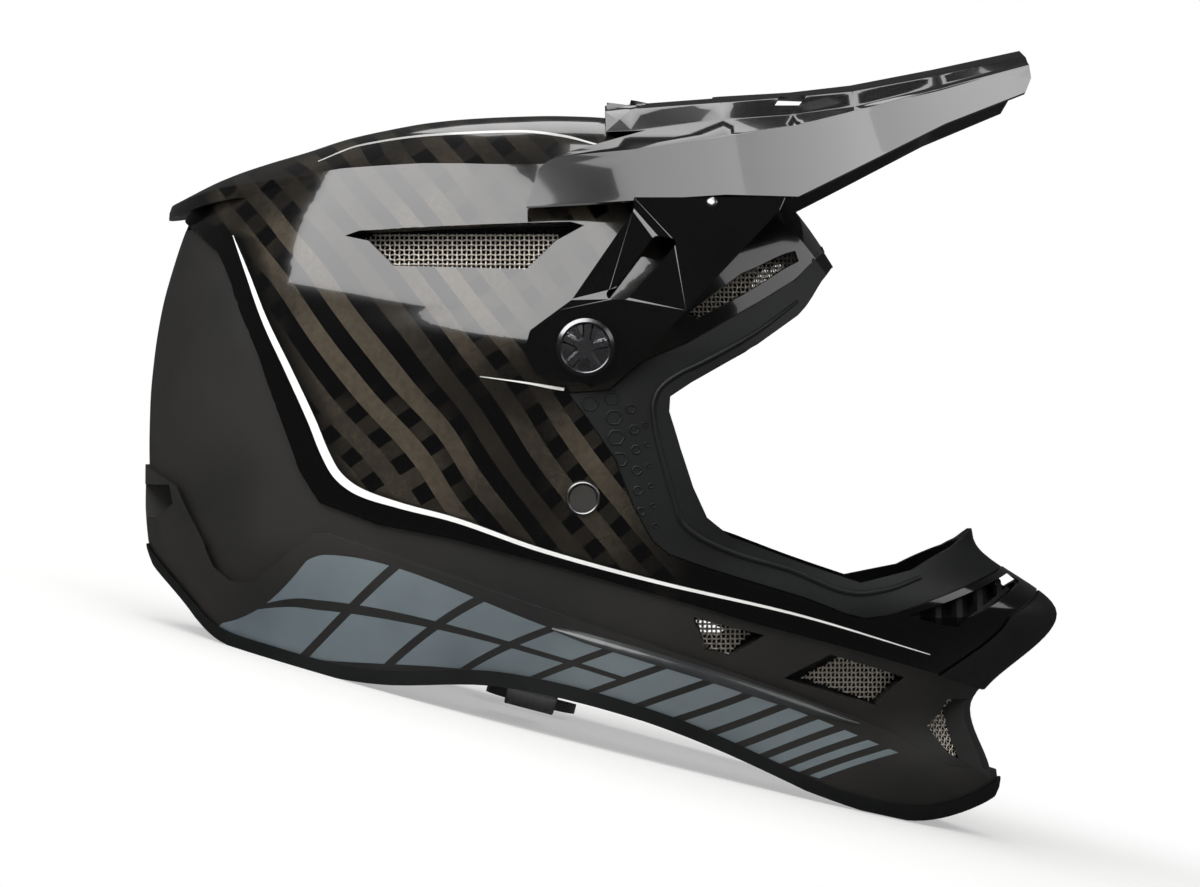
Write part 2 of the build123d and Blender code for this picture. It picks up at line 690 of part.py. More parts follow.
def visor_station(station):
    """One folded section of the right half of the visor sheet."""
    px, folds = station
    points = []
    for py, share in folds:
        y = half_width * share
        points.append((-y, at_middle((px, py), y)[1]))
    lowered = [(y, z - visor_wall) for y, z in points]
    lowered[-1] = (points[-1][0] + visor_wall, points[-1][1] - visor_wall / 4)
    lowered[-2] = (lowered[-2][0] + visor_wall / 2, lowered[-2][1])
    lowered[-3] = (lowered[-3][0] + visor_wall / 2, lowered[-3][1])
    with BuildSketch(Plane.YZ.offset(at_middle((px, 0))[0])) as outline:
        with BuildLine():
            Polyline(*points, *lowered[::-1], close=True)
        make_face()
    return outline.sketch


def crown_sector(inner, outer, start, end, half):
    """A band round the visor's pivot line between two radii and two angles."""
    with BuildPart() as band_part:
        with BuildSketch(Plane.XZ.offset(-half)):
            with BuildLine():
                turns = [math.radians(angle) for angle in (start, (start + end) / 2, end)]
                arcs = [[(pivot_x + math.cos(turn) * radius, pivot_z + math.sin(turn) * radius)
                         for turn in turns] for radius in (inner, outer)]
                ThreePointArc(*arcs[0])
                ThreePointArc(*arcs[1])
                Line(arcs[0][0], arcs[1][0])
                Line(arcs[0][2], arcs[1][2])
            make_face()
        extrude(amount=half * 2)
    return band_part.part


with BuildPart() as visor_half:
    loft([visor_station(station) for station in visor_folds], ruled=True)

slot_start = crown_angle - tilt_up - crown_slot_margin
slot_end = crown_angle + tilt_down + crown_slot_margin
head_margin = math.degrees((crown_head_radius + touch_gap * 5) / tongue_outside)
with BuildPart() as visor_arms:
    with BuildSketch(Plane.YZ.offset(-shell_length / 2)):
        with BuildLine():
            top_z = at_middle((0, arm_top_pixel), arm_top_half)[1]
            bend_z = at_middle((0, arm_bend_pixel), pad_inside)[1]
            foot_z = at_middle((0, arm_foot_pixel), pad_inside)[1]
            Polyline((-arm_top_half, top_z), (-pad_inside, bend_z), (-pad_inside, foot_z),
                     (-pad_inside - visor_wall, foot_z), (-pad_inside - visor_wall, bend_z),
                     (-arm_top_half - visor_wall, top_z), close=True)
        make_face()
    extrude(amount=shell_length)
    with BuildSketch(Plane.XZ):
        with BuildLine():
            Polyline(*[at_middle(point, pad_inside) for point in visor_arm], close=True)
        make_face()
        with BuildLine():
            Polyline(*[at_middle(point, pad_inside) for point in visor_window], close=True)
        make_face(mode=Mode.SUBTRACT)
        fillet(vertices(), arm_corner)
    extrude(amount=shell_width, mode=Mode.INTERSECT)

# What the shell takes up, seen from the visor, when its peak is tilted all the way up
tilt_line = Axis((pivot_x, 0, pivot_z), (0, 1, 0))
tilted_shell = body(overlay_top + visor_run_gap).rotate(tilt_line, tilt_up)
washer_margin = math.degrees((crown_flange_radius + fit_gap * 2) / crown_reach)

with BuildPart() as visor:
    add(both_sides(visor_half.part))
    add(prism(visor_side), mode=Mode.INTERSECT)
    add(prism(visor_slot, at_middle), mode=Mode.SUBTRACT)
    add(tilted_shell, mode=Mode.SUBTRACT)
    add(crown_sector(tongue_inside - overrun, tongue_inside, slot_start - washer_margin,
                     slot_end + washer_margin, crown_flange_radius + fit_gap * 2), mode=Mode.SUBTRACT)
    add(crown_sector(tongue_inside, tongue_outside, slot_start - tongue_margin,
                     slot_end + tongue_margin, tongue_half))
    add(crown_sector(tongue_inside - overrun, tongue_outside + overrun, slot_start, slot_end,
                     crown_screw_radius + screw_gap), mode=Mode.SUBTRACT)
    add(crown_sector(tongue_outside, tongue_outside + overrun * 2, slot_start - head_margin,
                     slot_end + head_margin, crown_head_radius + touch_gap * 5), mode=Mode.SUBTRACT)
    add(both_sides(visor_arms.part))
    add(both_sides(cross_pin(pivot_x, pivot_z, screw_radius + screw_gap, 0, shell_width)),
        mode=Mode.SUBTRACT)
keep("visor", visor.part)

# Visor screws, washers and the nuts set in the shell
knob_radius = 10.5
knob_wall = 4.0
knob_rim = 1.6
knob_recess = 1.6
knob_hub_radius = 3.2
knob_spokes = 6
knob_spoke_wall = 2.4
pad_outside = pad_inside + visor_wall
barrel_end = half_width + overlay_top + touch_gap
with BuildPart() as pivot_nut:
    add(cross_pin(pivot_x, pivot_z, nut_flange_radius, nut_inside, nut_boss_inside - touch_gap))
    add(cross_pin(pivot_x, pivot_z, nut_barrel_radius, nut_inside, barrel_end))
    add(cross_pin(pivot_x, pivot_z, screw_radius + screw_gap, 0, shell_width), mode=Mode.SUBTRACT)
keep_pair("visor_pivot_nut", pivot_nut.part)

with BuildPart() as pivot_washer:
    add(cross_pin(pivot_x, pivot_z, nut_flange_radius, barrel_end + touch_gap, pad_inside - touch_gap))
    add(cross_pin(pivot_x, pivot_z, screw_radius + touch_gap, 0, shell_width), mode=Mode.SUBTRACT)
keep_pair("visor_pivot_washer", pivot_washer.part)

with BuildPart() as pivot_screw:
    add(cross_pin(pivot_x, pivot_z, screw_radius, nut_inside + nut_flange_wall / 2,
                  pad_outside + knob_wall / 2))
    add(cross_pin(pivot_x, pivot_z, knob_radius, pad_outside + touch_gap, pad_outside + knob_wall))
    with BuildSketch(Plane.XZ.offset(pad_outside + knob_wall - knob_recess)):
        with Locations((pivot_x, pivot_z)):
            Circle(knob_radius - knob_rim)
            Circle(knob_hub_radius, mode=Mode.SUBTRACT)
            for turn in range(knob_spokes // 2):
                Rectangle(knob_radius * 2, knob_spoke_wall, rotation=turn * 360 / knob_spokes,
                          mode=Mode.SUBTRACT)
    extrude(amount=knob_wall, mode=Mode.SUBTRACT)
keep_pair("visor_pivot_screw", pivot_screw.part)

with BuildPart() as crown_nut:
    add(crown_disc(crown_flange_radius, crown_nut_inside, crown_nut_inside + nut_flange_wall))
    add(crown_disc(crown_nut_radius, crown_nut_inside, crown_reach - touch_gap))
    add(crown_disc(crown_screw_radius + screw_gap, 0, shell_height), mode=Mode.SUBTRACT)
keep("visor_crown_nut", crown_nut.part)

with BuildPart() as crown_washer:
    add(crown_disc(crown_flange_radius, crown_reach + crown_washer_gap,
                   crown_reach + crown_washer_gap + crown_washer_wall))
    add(crown_disc(crown_screw_radius + touch_gap, 0, shell_height), mode=Mode.SUBTRACT)
keep("visor_crown_washer", crown_washer.part)

with BuildPart() as crown_screw:
    add(crown_disc(crown_screw_radius, crown_nut_inside + nut_flange_wall / 2,
                   tongue_outside + crown_head_wall / 2))
    add(crown_disc(crown_head_radius, tongue_outside + touch_gap,
                   tongue_outside + touch_gap + crown_head_wall))
keep("visor_crown_screw", crown_screw.part)

# Chin strap hardware: a rivet and washers through the shell on each side
strap_clear = 2.8
strap_outside = wall_half(rivet_pixel) - shell_wall - strap_clear
strap_inside = strap_outside - strap_wall
anchor_wall = 1.2
rivet_washer_wall = 1.0
rivet_head_wall = 1.6
anchor_inside = strap_inside - touch_gap - anchor_wall
washer_outside = rivet_seat + touch_gap + rivet_washer_wall
with BuildPart() as strap_rivet:
    add(cross_pin(rivet_x, rivet_z, rivet_radius, anchor_inside - touch_gap - anchor_wall,
                  washer_outside + touch_gap))
    add(cross_pin(rivet_x, rivet_z, rivet_head_radius, washer_outside + touch_gap,
                  washer_outside + touch_gap + rivet_head_wall))
    add(cross_pin(rivet_x, rivet_z, rivet_radius * 1.6, anchor_inside - touch_gap - anchor_wall,
                  anchor_inside - touch_gap))
keep_pair("strap_rivet", strap_rivet.part)

with BuildPart() as strap_washers:
    for start, end in ((rivet_seat + touch_gap, washer_outside),
                       (anchor_inside, anchor_inside + anchor_wall)):
        add(cross_pin(rivet_x, rivet_z, rivet_washer_radius, start, end))
    add(cross_pin(rivet_x, rivet_z, rivet_radius + touch_gap, 0, shell_width), mode=Mode.SUBTRACT)
keep_pair("strap_washers", strap_washers.part)

# Straps hang plumb from the rivets in the standing helmet, then turn in over the table
strap_middle = (strap_outside + strap_inside) / 2
strap_top = 9.0
strap_turn_out = 10.3
strap_drop = 76.0
strap_floor = 86.0
strap_bend = 12.0
long_strap_end = 25.0
loop_middle = 57.0
ring_pitch = 5.0
ring_wall = 3.2
ring_thick = 3.4
ring_gap = 0.1
inner_ring_half = 13.0
outer_ring_half = 17.0
inner_ring_depth = 18.0
outer_ring_depth = 28.0
loop_radius = math.hypot(ring_wall, ring_thick) / 2 + ring_gap
tilt_cos = math.cos(math.radians(tip_angle))
tilt_sin = math.sin(math.radians(tip_angle))
strap_plane = Plane(origin=(rivet_x, 0, rivet_z), x_dir=(0, -1, 0), z_dir=(-tilt_cos, 0, tilt_sin))


def strap(end):
    """A riveted web from above the rivet to a distance off the middle plane."""
    with BuildPart() as web:
        with BuildSketch(strap_plane.offset(-strap_half)):
            with BuildLine():
                FilletPolyline((strap_middle, strap_top), (strap_middle, -strap_top),
                               (strap_middle - strap_turn_out, -strap_drop), (end, -strap_floor),
                               radius=strap_bend)
            trace(line_width=strap_wall)
        extrude(amount=strap_half * 2)
        add(cross_pin(rivet_x, rivet_z, rivet_radius + touch_gap, 0, shell_width), mode=Mode.SUBTRACT)
    return web.part


keep("chin_strap_long", strap(long_strap_end))

with BuildPart() as short_strap:
    add(strap(loop_middle + ring_pitch))
    with BuildSketch(strap_plane.offset(-strap_half)):
        with Locations((loop_middle, -strap_floor)):
            SlotCenterToCenter(ring_pitch, (loop_radius + strap_wall) * 2)
    extrude(amount=strap_half * 2)
    with BuildSketch(strap_plane.offset(-strap_half)):
        with Locations((loop_middle, -strap_floor)):
            SlotCenterToCenter(ring_pitch, loop_radius * 2)
    extrude(amount=strap_half * 2, mode=Mode.SUBTRACT)
keep("chin_strap_short", mirror(short_strap.part, about=Plane.XZ, mode=Mode.PRIVATE))


def strap_point(out, up, along):
    """A place beside the right strap: off the middle plane, above the rivet, across the web."""
    return strap_plane.from_local_coords((out, up, along))


def d_ring(bar_out, half, depth):
    """A flat stamped D whose bow reaches inwards from a straight bar, as seen on the right."""
    flat = Plane(origin=strap_point(bar_out, -strap_floor - ring_thick / 2, 0), x_dir=(0, 1, 0),
                 z_dir=strap_plane.y_dir)
    with BuildPart() as ring:
        with BuildSketch(flat):
            with BuildLine():
                Polyline((depth - half, half), (0, half), (0, -half), (depth - half, -half))
                ThreePointArc((depth - half, half), (depth, 0), (depth - half, -half))
            make_face()
            offset(amount=ring_wall / 2)
            offset(amount=-ring_wall, kind=Kind.INTERSECTION, mode=Mode.SUBTRACT)
        extrude(amount=ring_thick)
    return ring.part


for name, bar_out, half, depth in (
        ("d_ring_inner", loop_middle - ring_pitch / 2, inner_ring_half, inner_ring_depth),
        ("d_ring_outer", loop_middle + ring_pitch / 2, outer_ring_half, outer_ring_depth)):
    keep(name, mirror(d_ring(bar_out, half, depth), about=Plane.XZ, mode=Mode.PRIVATE))


def write_pieces():
    """Stands the helmet on its rim, puts the origin under its middle and writes it."""
    tilt = Rotation(0, -tip_angle, 0)
    box = Compound(children=[tilt * part for part in pieces.values()]).bounding_box()
    stand = Pos(-box.center().X, -box.center().Y, -box.min.Z) * tilt
    for name, part in pieces.items():
        placed = stand * part
        placed.label = name
        export_step(placed, f"parts/{name}.step")
    out = (math.cos(math.radians(crown_angle)), 0, math.sin(math.radians(crown_angle)))
    for title, spot in (("pivot", (pivot_x, 0, pivot_z)),
                        ("pad", (pivot_x, -pad_inside, pivot_z)),
                        ("crown screw", (pivot_x + out[0] * crown_reach, 0, pivot_z + out[2] * crown_reach)),
                        ("inner ring", tuple(strap_point(loop_middle - ring_pitch / 2, -strap_floor, 0))),
                        ("outer ring", tuple(strap_point(loop_middle + ring_pitch / 2, -strap_floor, 0)))):
        print(title, [round(v, 3) for v in tuple((stand * Pos(*spot)).position)])
    for face in (stand * pieces["rim_trim"]).faces().filter_by(Plane.XY).sort_by(Axis.Z)[:8]:
        print("rest face", [round(v, 3) for v in tuple(face.center())], round(face.area, 1))
    print("size", [round(v, 2) for v in box.size], "crown angle", round(crown_angle + tip_angle, 3))


write_pieces()
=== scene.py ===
# %% [markdown]
# # A full face helmet for downhill cycling
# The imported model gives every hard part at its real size. This lesson dresses it: it makes the
# moulded shells smooth, weaves the wire in the vents, pads the lining, and gives each surface
# the finish of the real thing. All lengths are in metres once they are in the scene, and a
# value that is easier to read in millimetres is multiplied by MM.

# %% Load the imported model
import json
import math

import bmesh
import bpy
import numpy as np
from mathutils import Matrix, Vector
from mathutils.bvhtree import BVHTree


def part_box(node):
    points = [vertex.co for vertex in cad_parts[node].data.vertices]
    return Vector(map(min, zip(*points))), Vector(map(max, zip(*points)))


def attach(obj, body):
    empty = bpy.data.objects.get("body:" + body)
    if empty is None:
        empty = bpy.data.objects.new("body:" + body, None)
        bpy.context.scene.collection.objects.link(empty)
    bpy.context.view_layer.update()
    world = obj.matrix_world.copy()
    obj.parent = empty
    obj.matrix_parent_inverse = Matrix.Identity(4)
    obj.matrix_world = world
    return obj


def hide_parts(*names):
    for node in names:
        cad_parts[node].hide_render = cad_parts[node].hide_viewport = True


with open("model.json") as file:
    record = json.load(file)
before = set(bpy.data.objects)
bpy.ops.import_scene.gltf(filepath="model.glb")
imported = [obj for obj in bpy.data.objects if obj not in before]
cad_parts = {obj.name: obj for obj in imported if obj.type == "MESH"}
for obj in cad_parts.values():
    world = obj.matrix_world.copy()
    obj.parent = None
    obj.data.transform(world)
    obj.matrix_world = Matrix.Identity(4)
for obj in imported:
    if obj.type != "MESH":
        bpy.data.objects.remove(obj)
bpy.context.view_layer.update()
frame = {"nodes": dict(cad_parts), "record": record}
MM = 0.001

# %% [markdown]
# ## Two ways to say where something is
# The helmet stands nose up on its rim, but its designer drew it level. Both frames are useful:
# the standing one is the scene's, and the level one lines up with a side view, where one pixel
# of that view is 0.4 mm. The pivot of the visor is known in both, and it ties them together.

# %% Level frame and side view
TIP = math.radians(14.62)
PIXEL = 0.4
CENTRE = (600.0, 443.0)
VIEW_DISTANCE = 2200.0
HALF_WIDTH = 115.0
PIVOT_PIXEL = (585.6, 347.5)
PIVOT_HALF = 114.3
low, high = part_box("visor_pivot_screw_right")
pivot = (low + high) / 2
to_standing = Matrix.Rotation(-TIP, 4, "Y")


def level_point(px, py, y=0.0):
    """The level place, in mm, that a side view pixel shows at y off the middle plane."""
    scale = PIXEL * (1 - abs(y) / VIEW_DISTANCE)
    return Vector(((px - CENTRE[0]) * scale, y, (CENTRE[1] - py) * scale))


pivot_level = level_point(*PIVOT_PIXEL, PIVOT_HALF)
shift = Vector((pivot.x, 0, pivot.z)) - to_standing @ Vector((pivot_level.x, 0, pivot_level.z)) * MM
standing = Matrix.Translation(shift) @ to_standing @ Matrix.Scale(MM, 4)
level = standing.inverted()
standing_turn = np.array(to_standing)[:3, :3]
print("level origin stands at", [round(v, 4) for v in standing.translation])

# %% [markdown]
# ## Camera
# The side view was taken square on, from a little over two metres, with a long lens, and turned
# so that the helmet looks level. A long lens keeps the chin and the visor from looking too big.

# %% Camera
FRAME_PIXELS = 1200
SENSOR = 36.0


def in_scene(name, data):
    """A new object with this data, in the scene."""
    made = bpy.data.objects.new(name, data)
    bpy.context.scene.collection.objects.link(made)
    return made


camera_data = bpy.data.cameras.new("side_camera")
camera_data.sensor_width = SENSOR
camera_data.lens = SENSOR * VIEW_DISTANCE / (FRAME_PIXELS * PIXEL)
camera = in_scene("side_camera", camera_data)
camera.matrix_world = (Matrix.Translation(standing @ Vector((0, -VIEW_DISTANCE, 0)))
                       @ to_standing @ Matrix.Rotation(math.pi / 2, 4, "X"))
camera_data.clip_start = 0.1
camera_data.clip_end = 20.0
bpy.context.scene.camera = camera
print("lens", round(camera_data.lens, 1), "mm")

# %% [markdown]
# ## Materials, one helper
# Colours are written as sRGB hex, the way a colour picker shows them, and one function turns
# them to the linear values that a shader works in. One more function adds a node, sets it, links
# it and returns the output that the next node needs. Each material starts from one shader and
# from places on the object in metres, so that a pattern's scale can come from a real size.

# %% Material helpers


def colour(code):
    """An sRGB hex colour as linear red, green, blue, alpha."""
    parts = [int(code[i:i + 2], 16) / 255 for i in (1, 3, 5)]
    return [c / 12.92 if c <= 0.04045 else ((c + 0.055) / 1.055) ** 2.4 for c in parts] + [1.0]


def add_node(tree, kind, inputs=None, out=0, to=None, stops=(), **settings):
    """A new node with its settings, values, links and colour stops: returns one output."""
    made = tree.nodes.new("ShaderNode" + kind)
    for name, value in settings.items():
        setattr(made, name, value)
    for name, value in (inputs or {}).items():
        if isinstance(value, bpy.types.NodeSocket):
            tree.links.new(value, made.inputs[name])
        else:
            made.inputs[name].default_value = value
    if stops:
        elements = made.color_ramp.elements
        while len(elements) < len(stops):
            elements.new(0.5)
        for element, (place, code) in zip(elements, stops):
            element.position = place
            element.color = colour(code)
    if to is not None:
        tree.links.new(made.outputs[out], to)
    return made.outputs[out]


def new_material(name, **values):
    """A material of one Principled shader: returns it, its tree, the shader and the places."""
    material = bpy.data.materials.new(name)
    material.use_nodes = True
    tree = material.node_tree
    shader = tree.nodes["Principled BSDF"]
    for key, value in values.items():
        shader.inputs[key.replace("_", " ")].default_value = value
    return material, tree, shader, add_node(tree, "TexCoord", out="Object")


def mottled(tree, shader, place, scale, detail, dark, light):
    """Lets the shader's colour wander softly between two tones."""
    tone = add_node(tree, "TexNoise", {"Vector": place, "Scale": scale, "Detail": detail})
    add_node(tree, "ValToRGB", {"Fac": tone}, to=shader.inputs["Base Color"],
             stops=[(0.3, dark), (0.7, light)])


def grained(tree, shader, height, depth, tallest):
    """Raises the shader's surface by a pattern that is tallest mm high."""
    add_node(tree, "Bump", {"Strength": depth, "Distance": tallest * MM, "Height": height},
             to=shader.inputs["Normal"])


def give(obj, material):
    """Makes this the object's only material."""
    obj.data.materials.clear()
    obj.data.materials.append(material)

# %% [markdown]
# ## Carbon laminate under clear coat
# The crown is spread tow carbon: flat bands of fibre six millimetres wide, laid at a slant over
# crossing ones, then sanded and polished under a thick clear lacquer. A band looks brown grey
# where its fibres catch the light and black where they don't. Two slanted coordinates, each cut
# into bands, give the lay; a slow noise bends them, because tows are laid by hand. The bare
# carbon ends at the white line, a painted highlight along the panel's edge crease, and a curve
# that follows it closes the area.

# %% Carbon laminate
TOW = 6.6
TOW_ANGLE = 52.0
TOW_SWAY = 0.012
SIDE_SCALE = PIXEL * (1 - 110.0 / VIEW_DISTANCE)
BARE_LEFT = [(180, 186), (215, 190), (235, 233), (272, 247), (318, 264), (371, 289), (421, 312),
             (455, 326), (474, 337), (490, 357), (505, 400), (518, 450), (549, 539), (580, 651)]
BARE_FADE = 22.0
BARE_FRONT = (600.0, 690.0)


def side_view_coordinate(tree, place, row, sign, centre):
    """One pixel coordinate of the side view, for places on the side wall."""
    turn = level[row]
    factor = sign / SIDE_SCALE
    dot = add_node(tree, "VectorMath", {0: place, 1: [turn[i] * factor for i in range(3)]}, out="Value",
                   operation="DOT_PRODUCT")
    return add_node(tree, "Math", {0: dot, 1: centre + turn[3] * factor}, operation="ADD")


def bare_carbon_share(tree, place):
    """One inside the painted white highlight line, fading out towards the face opening."""
    px = side_view_coordinate(tree, place, 0, 1, CENTRE[0])
    py = side_view_coordinate(tree, place, 2, -1, CENTRE[1])
    top, foot = BARE_LEFT[0][0], BARE_LEFT[-1][0]
    down = add_node(tree, "MapRange", {0: py, 1: top, 2: foot})
    curve = add_node(tree, "FloatCurve", {"Value": down})
    mapping = curve.node.mapping
    line = mapping.curves[0]
    for number, (y, x) in enumerate(BARE_LEFT):
        at = ((y - top) / (foot - top), x / FRAME_PIXELS)
        if number in (0, len(BARE_LEFT) - 1):
            line.points[0 if number == 0 else len(line.points) - 1].location = at
        else:
            line.points.new(*at)
    for point in line.points:
        point.handle_type = "VECTOR"
    mapping.update()
    edge = add_node(tree, "Math", {0: curve, 1: FRAME_PIXELS}, operation="MULTIPLY")
    inside = add_node(tree, "Math", {0: px, 1: edge}, operation="SUBTRACT")
    inside = add_node(tree, "MapRange", {0: inside, 1: 0.0, 2: BARE_FADE})
    front = add_node(tree, "MapRange", {0: px, 1: BARE_FRONT[0], 2: BARE_FRONT[1], 3: 1.0, 4: 0.0})
    return add_node(tree, "Math", {0: inside, 1: front}, operation="MULTIPLY")


def carbon_laminate():
    material, tree, shader, place = new_material("carbon_laminate_clear_coat", Roughness=0.12, IOR=1.5,
                                                 Coat_Weight=1.0, Coat_Roughness=0.02, Coat_IOR=1.5)
    wander = add_node(tree, "TexNoise", {"Vector": place, "Scale": 14.0, "Detail": 1.0}, out="Color")
    wander = add_node(tree, "VectorMath", {0: wander, 1: [0.5] * 3}, operation="SUBTRACT")
    swayed = add_node(tree, "VectorMath", {0: wander, 1: [TOW_SWAY] * 3, 2: place},
                      operation="MULTIPLY_ADD")
    lit = []
    for turn, share in ((TOW_ANGLE, 0.52), (TOW_ANGLE + 92, 0.5)):
        angle = math.radians(turn) - TIP
        across = [c / (2 * TOW * MM) for c in (math.sin(angle), 0.0, math.cos(angle))]
        bands = add_node(tree, "VectorMath", {0: swayed, 1: across}, out="Value", operation="DOT_PRODUCT")
        number = add_node(tree, "Math", {0: bands}, operation="FLOOR")
        tone = add_node(tree, "TexWhiteNoise", {"W": number}, noise_dimensions="1D")
        tone = add_node(tree, "MapRange", {0: tone, 3: 0.55, 4: 1.0})
        part = add_node(tree, "Math", {0: bands}, operation="FRACT")
        part = add_node(tree, "Math", {0: part, 1: share}, operation="LESS_THAN")
        lit.append(add_node(tree, "Math", {0: part, 1: tone}, operation="MULTIPLY"))
    noises = []
    for noise, span in (
            ({"Scale": 11.0, "Detail": 0.0}, {1: 0.48, 2: 0.54, 3: 0.0, 4: 0.62}),
            ({"Scale": 320.0, "Detail": 3.0, "Roughness": 0.7}, {1: 0.3, 2: 0.75, 3: 0.7, 4: 1.0}),
            ({"Scale": 16.0, "Detail": 2.0}, {1: 0.32, 2: 0.62, 3: 0.35, 4: 1.0})):
        noise = add_node(tree, "TexNoise", {"Vector": place, **noise})
        noises.append(add_node(tree, "MapRange", {0: noise, **span}))
    patch, streak, cloud = noises
    crossing = add_node(tree, "Math", {0: lit[1], 1: patch}, operation="MULTIPLY")
    shown = add_node(tree, "Math", {0: lit[0], 1: crossing}, operation="MAXIMUM")
    for more in (streak, cloud, bare_carbon_share(tree, place)):
        shown = add_node(tree, "Math", {0: shown, 1: more}, operation="MULTIPLY")
    add_node(tree, "ValToRGB", {"Fac": shown}, to=shader.inputs["Base Color"],
             stops=[(0.0, "#050505"), (0.4, "#24211c"), (1.0, "#524a3f")])
    return material


# %% [markdown]
# ## Satin lacquer
# The lower shell is the same laminate under a matt clear coat. It reads as a dark grey plastic
# with soft, cloudy highlights, and the lay of the fibre only just shows through.

# %% Satin lacquer and moulded parts
GRAIN_HEIGHT = 0.1


def satin_lacquer():
    material, tree, shader, place = new_material("satin_lacquer", Roughness=0.45, IOR=1.5,
                                                 Coat_Weight=0.5, Coat_Roughness=0.4)
    mottled(tree, shader, place, 14.0, 4.0, "#1a1a1a", "#2c2a28")
    grain = add_node(tree, "TexNoise", {"Vector": place, "Scale": 900.0, "Detail": 2.0})
    add_node(tree, "MapRange", {0: grain, 3: 0.34, 4: 0.48}, to=shader.inputs["Roughness"])
    grained(tree, shader, grain, 0.08, GRAIN_HEIGHT)
    return material


def moulded(name, dark, light, roughness, grain_scale, depth, **values):
    """A moulded plastic or rubber with a fine grain and a little dust in its tone."""
    material, tree, shader, place = new_material(name, Roughness=roughness, **values)
    mottled(tree, shader, place, 30.0, 5.0, dark, light)
    grain = add_node(tree, "TexNoise", {"Vector": place, "Scale": grain_scale, "Detail": 3.0})
    grained(tree, shader, grain, depth, GRAIN_HEIGHT)
    return material


# %% [markdown]
# ## Knit, webbing and beaded foam
# A knit shows rows of small loops, and webbing shows ribs across its length; both are two waves
# multiplied, at the pitch of the yarn. Expanded foam is made of beads pressed flat on each other,
# which is just what the cells of a Voronoi texture are.

# %% Textiles and foam
WAVE_FACTOR = math.tau / 20
YARN_HEIGHT = 0.25
BEAD = 3.5
BEAD_HEIGHT = 0.4


def woven_cloth(name, dark, light, pitch, ways, depth):
    """A textile whose yarns lie pitch mm apart in two ways."""
    material, tree, shader, place = new_material(name, Roughness=0.85, Sheen_Weight=0.25)
    waves = [add_node(tree, "TexWave", {"Vector": place, "Scale": WAVE_FACTOR / (p * MM)}, out="Fac",
                      bands_direction=way) for way, p in zip(ways, pitch)]
    loops = add_node(tree, "Math", {0: waves[0], 1: waves[1]}, operation="MULTIPLY")
    tone = add_node(tree, "TexNoise", {"Vector": place, "Scale": 45.0, "Detail": 4.0})
    tone = add_node(tree, "Math", {0: tone, 1: 0.6}, operation="MULTIPLY")
    tone = add_node(tree, "Math", {0: loops, 1: 0.5, 2: tone}, operation="MULTIPLY_ADD")
    add_node(tree, "ValToRGB", {"Fac": tone}, to=shader.inputs["Base Color"],
             stops=[(0.1, dark), (0.8, light)])
    grained(tree, shader, loops, depth, YARN_HEIGHT)
    return material


def beaded_foam():
    material, tree, shader, place = new_material("expanded_polystyrene", Roughness=0.8, IOR=1.5)
    bead = add_node(tree, "TexVoronoi", {"Vector": place, "Scale": 1 / (BEAD * MM)})
    add_node(tree, "ValToRGB", {"Fac": bead}, to=shader.inputs["Base Color"],
             stops=[(0.2, "#17171a"), (0.7, "#0b0b0c")])
    dome = add_node(tree, "Math", {0: 1.0, 1: bead}, operation="SUBTRACT")
    grained(tree, shader, dome, 0.5, BEAD_HEIGHT)
    return material


# %% [markdown]
# ## Every finish by name
# Polished ABS under lacquer mirrors the studio sharply, textured ABS hardly at all, and moulded
# rubber is flat with a touch of green. Black chrome and nickel are dark mirrors, stamped steel is
# a pale one, and woven wire is brighter and softer, because its round wires scatter the light.
# A real grain is finer than the picture shows, so it is drawn about a millimetre wide here.

# %% Finishes
finish = {
    "carbon": carbon_laminate(),
    "satin": satin_lacquer(),
    "visor": moulded("polished_abs", "#070707", "#0c0c0c", 0.12, 500.0, 0.01, IOR=1.5, Coat_Weight=1.0,
                     Coat_Roughness=0.03),
    "rubber": moulded("moulded_rubber", "#0e110f", "#171a19", 0.5, 1500.0, 0.25, IOR=1.5),
    "panel": moulded("satin_abs", "#151615", "#1e1f1e", 0.42, 900.0, 0.1, IOR=1.5),
    "louvre": moulded("textured_abs", "#0c0c0c", "#161616", 0.6, 900.0, 0.2, IOR=1.5),
    "foam": beaded_foam(),
    "wire": moulded("woven_steel_wire", "#c4bcb1", "#ded6cb", 0.38, 900.0, 0.05, Metallic=0.6),
    "knob": moulded("black_chrome", "#77777a", "#8d8d8f", 0.22, 900.0, 0.03, Metallic=1.0),
    "rivet": moulded("satin_nickel", "#6d6b67", "#7d7b77", 0.35, 900.0, 0.05, Metallic=1.0),
    "brass": moulded("turned_brass", "#a8884a", "#b8975a", 0.35, 900.0, 0.05, Metallic=1.0),
    "webbing": woven_cloth("polyester_webbing", "#101011", "#262628", (2.6, 1.6), ("X", "DIAGONAL"), 0.6),
    "steel": moulded("stamped_steel", "#8e8e8e", "#a2a2a2", 0.28, 600.0, 0.05, Metallic=1.0),
    "lining": woven_cloth("knitted_lining", "#1a1c1f", "#34373b", (1.8, 1.5), ("X", "Z"), 0.7),
}
slot_finish = {
    "satin_shell": "satin", "gloss_shell": "carbon", "chin_panel": "panel", "rubber_trim": "rubber",
    "wire_mesh": "wire", "louvre": "louvre", "foam": "foam", "lining": "lining", "snap": "louvre",
    "visor": "visor", "screw": "knob", "washer": "rubber", "nut": "brass", "rivet": "rivet",
    "webbing": "webbing", "ring": "steel",
}
for part in frame["record"]["subparts"]:
    node = frame["nodes"][part["node"]]
    give(node, finish[slot_finish[part["material_slot"]]])
print(len(finish), "finishes")

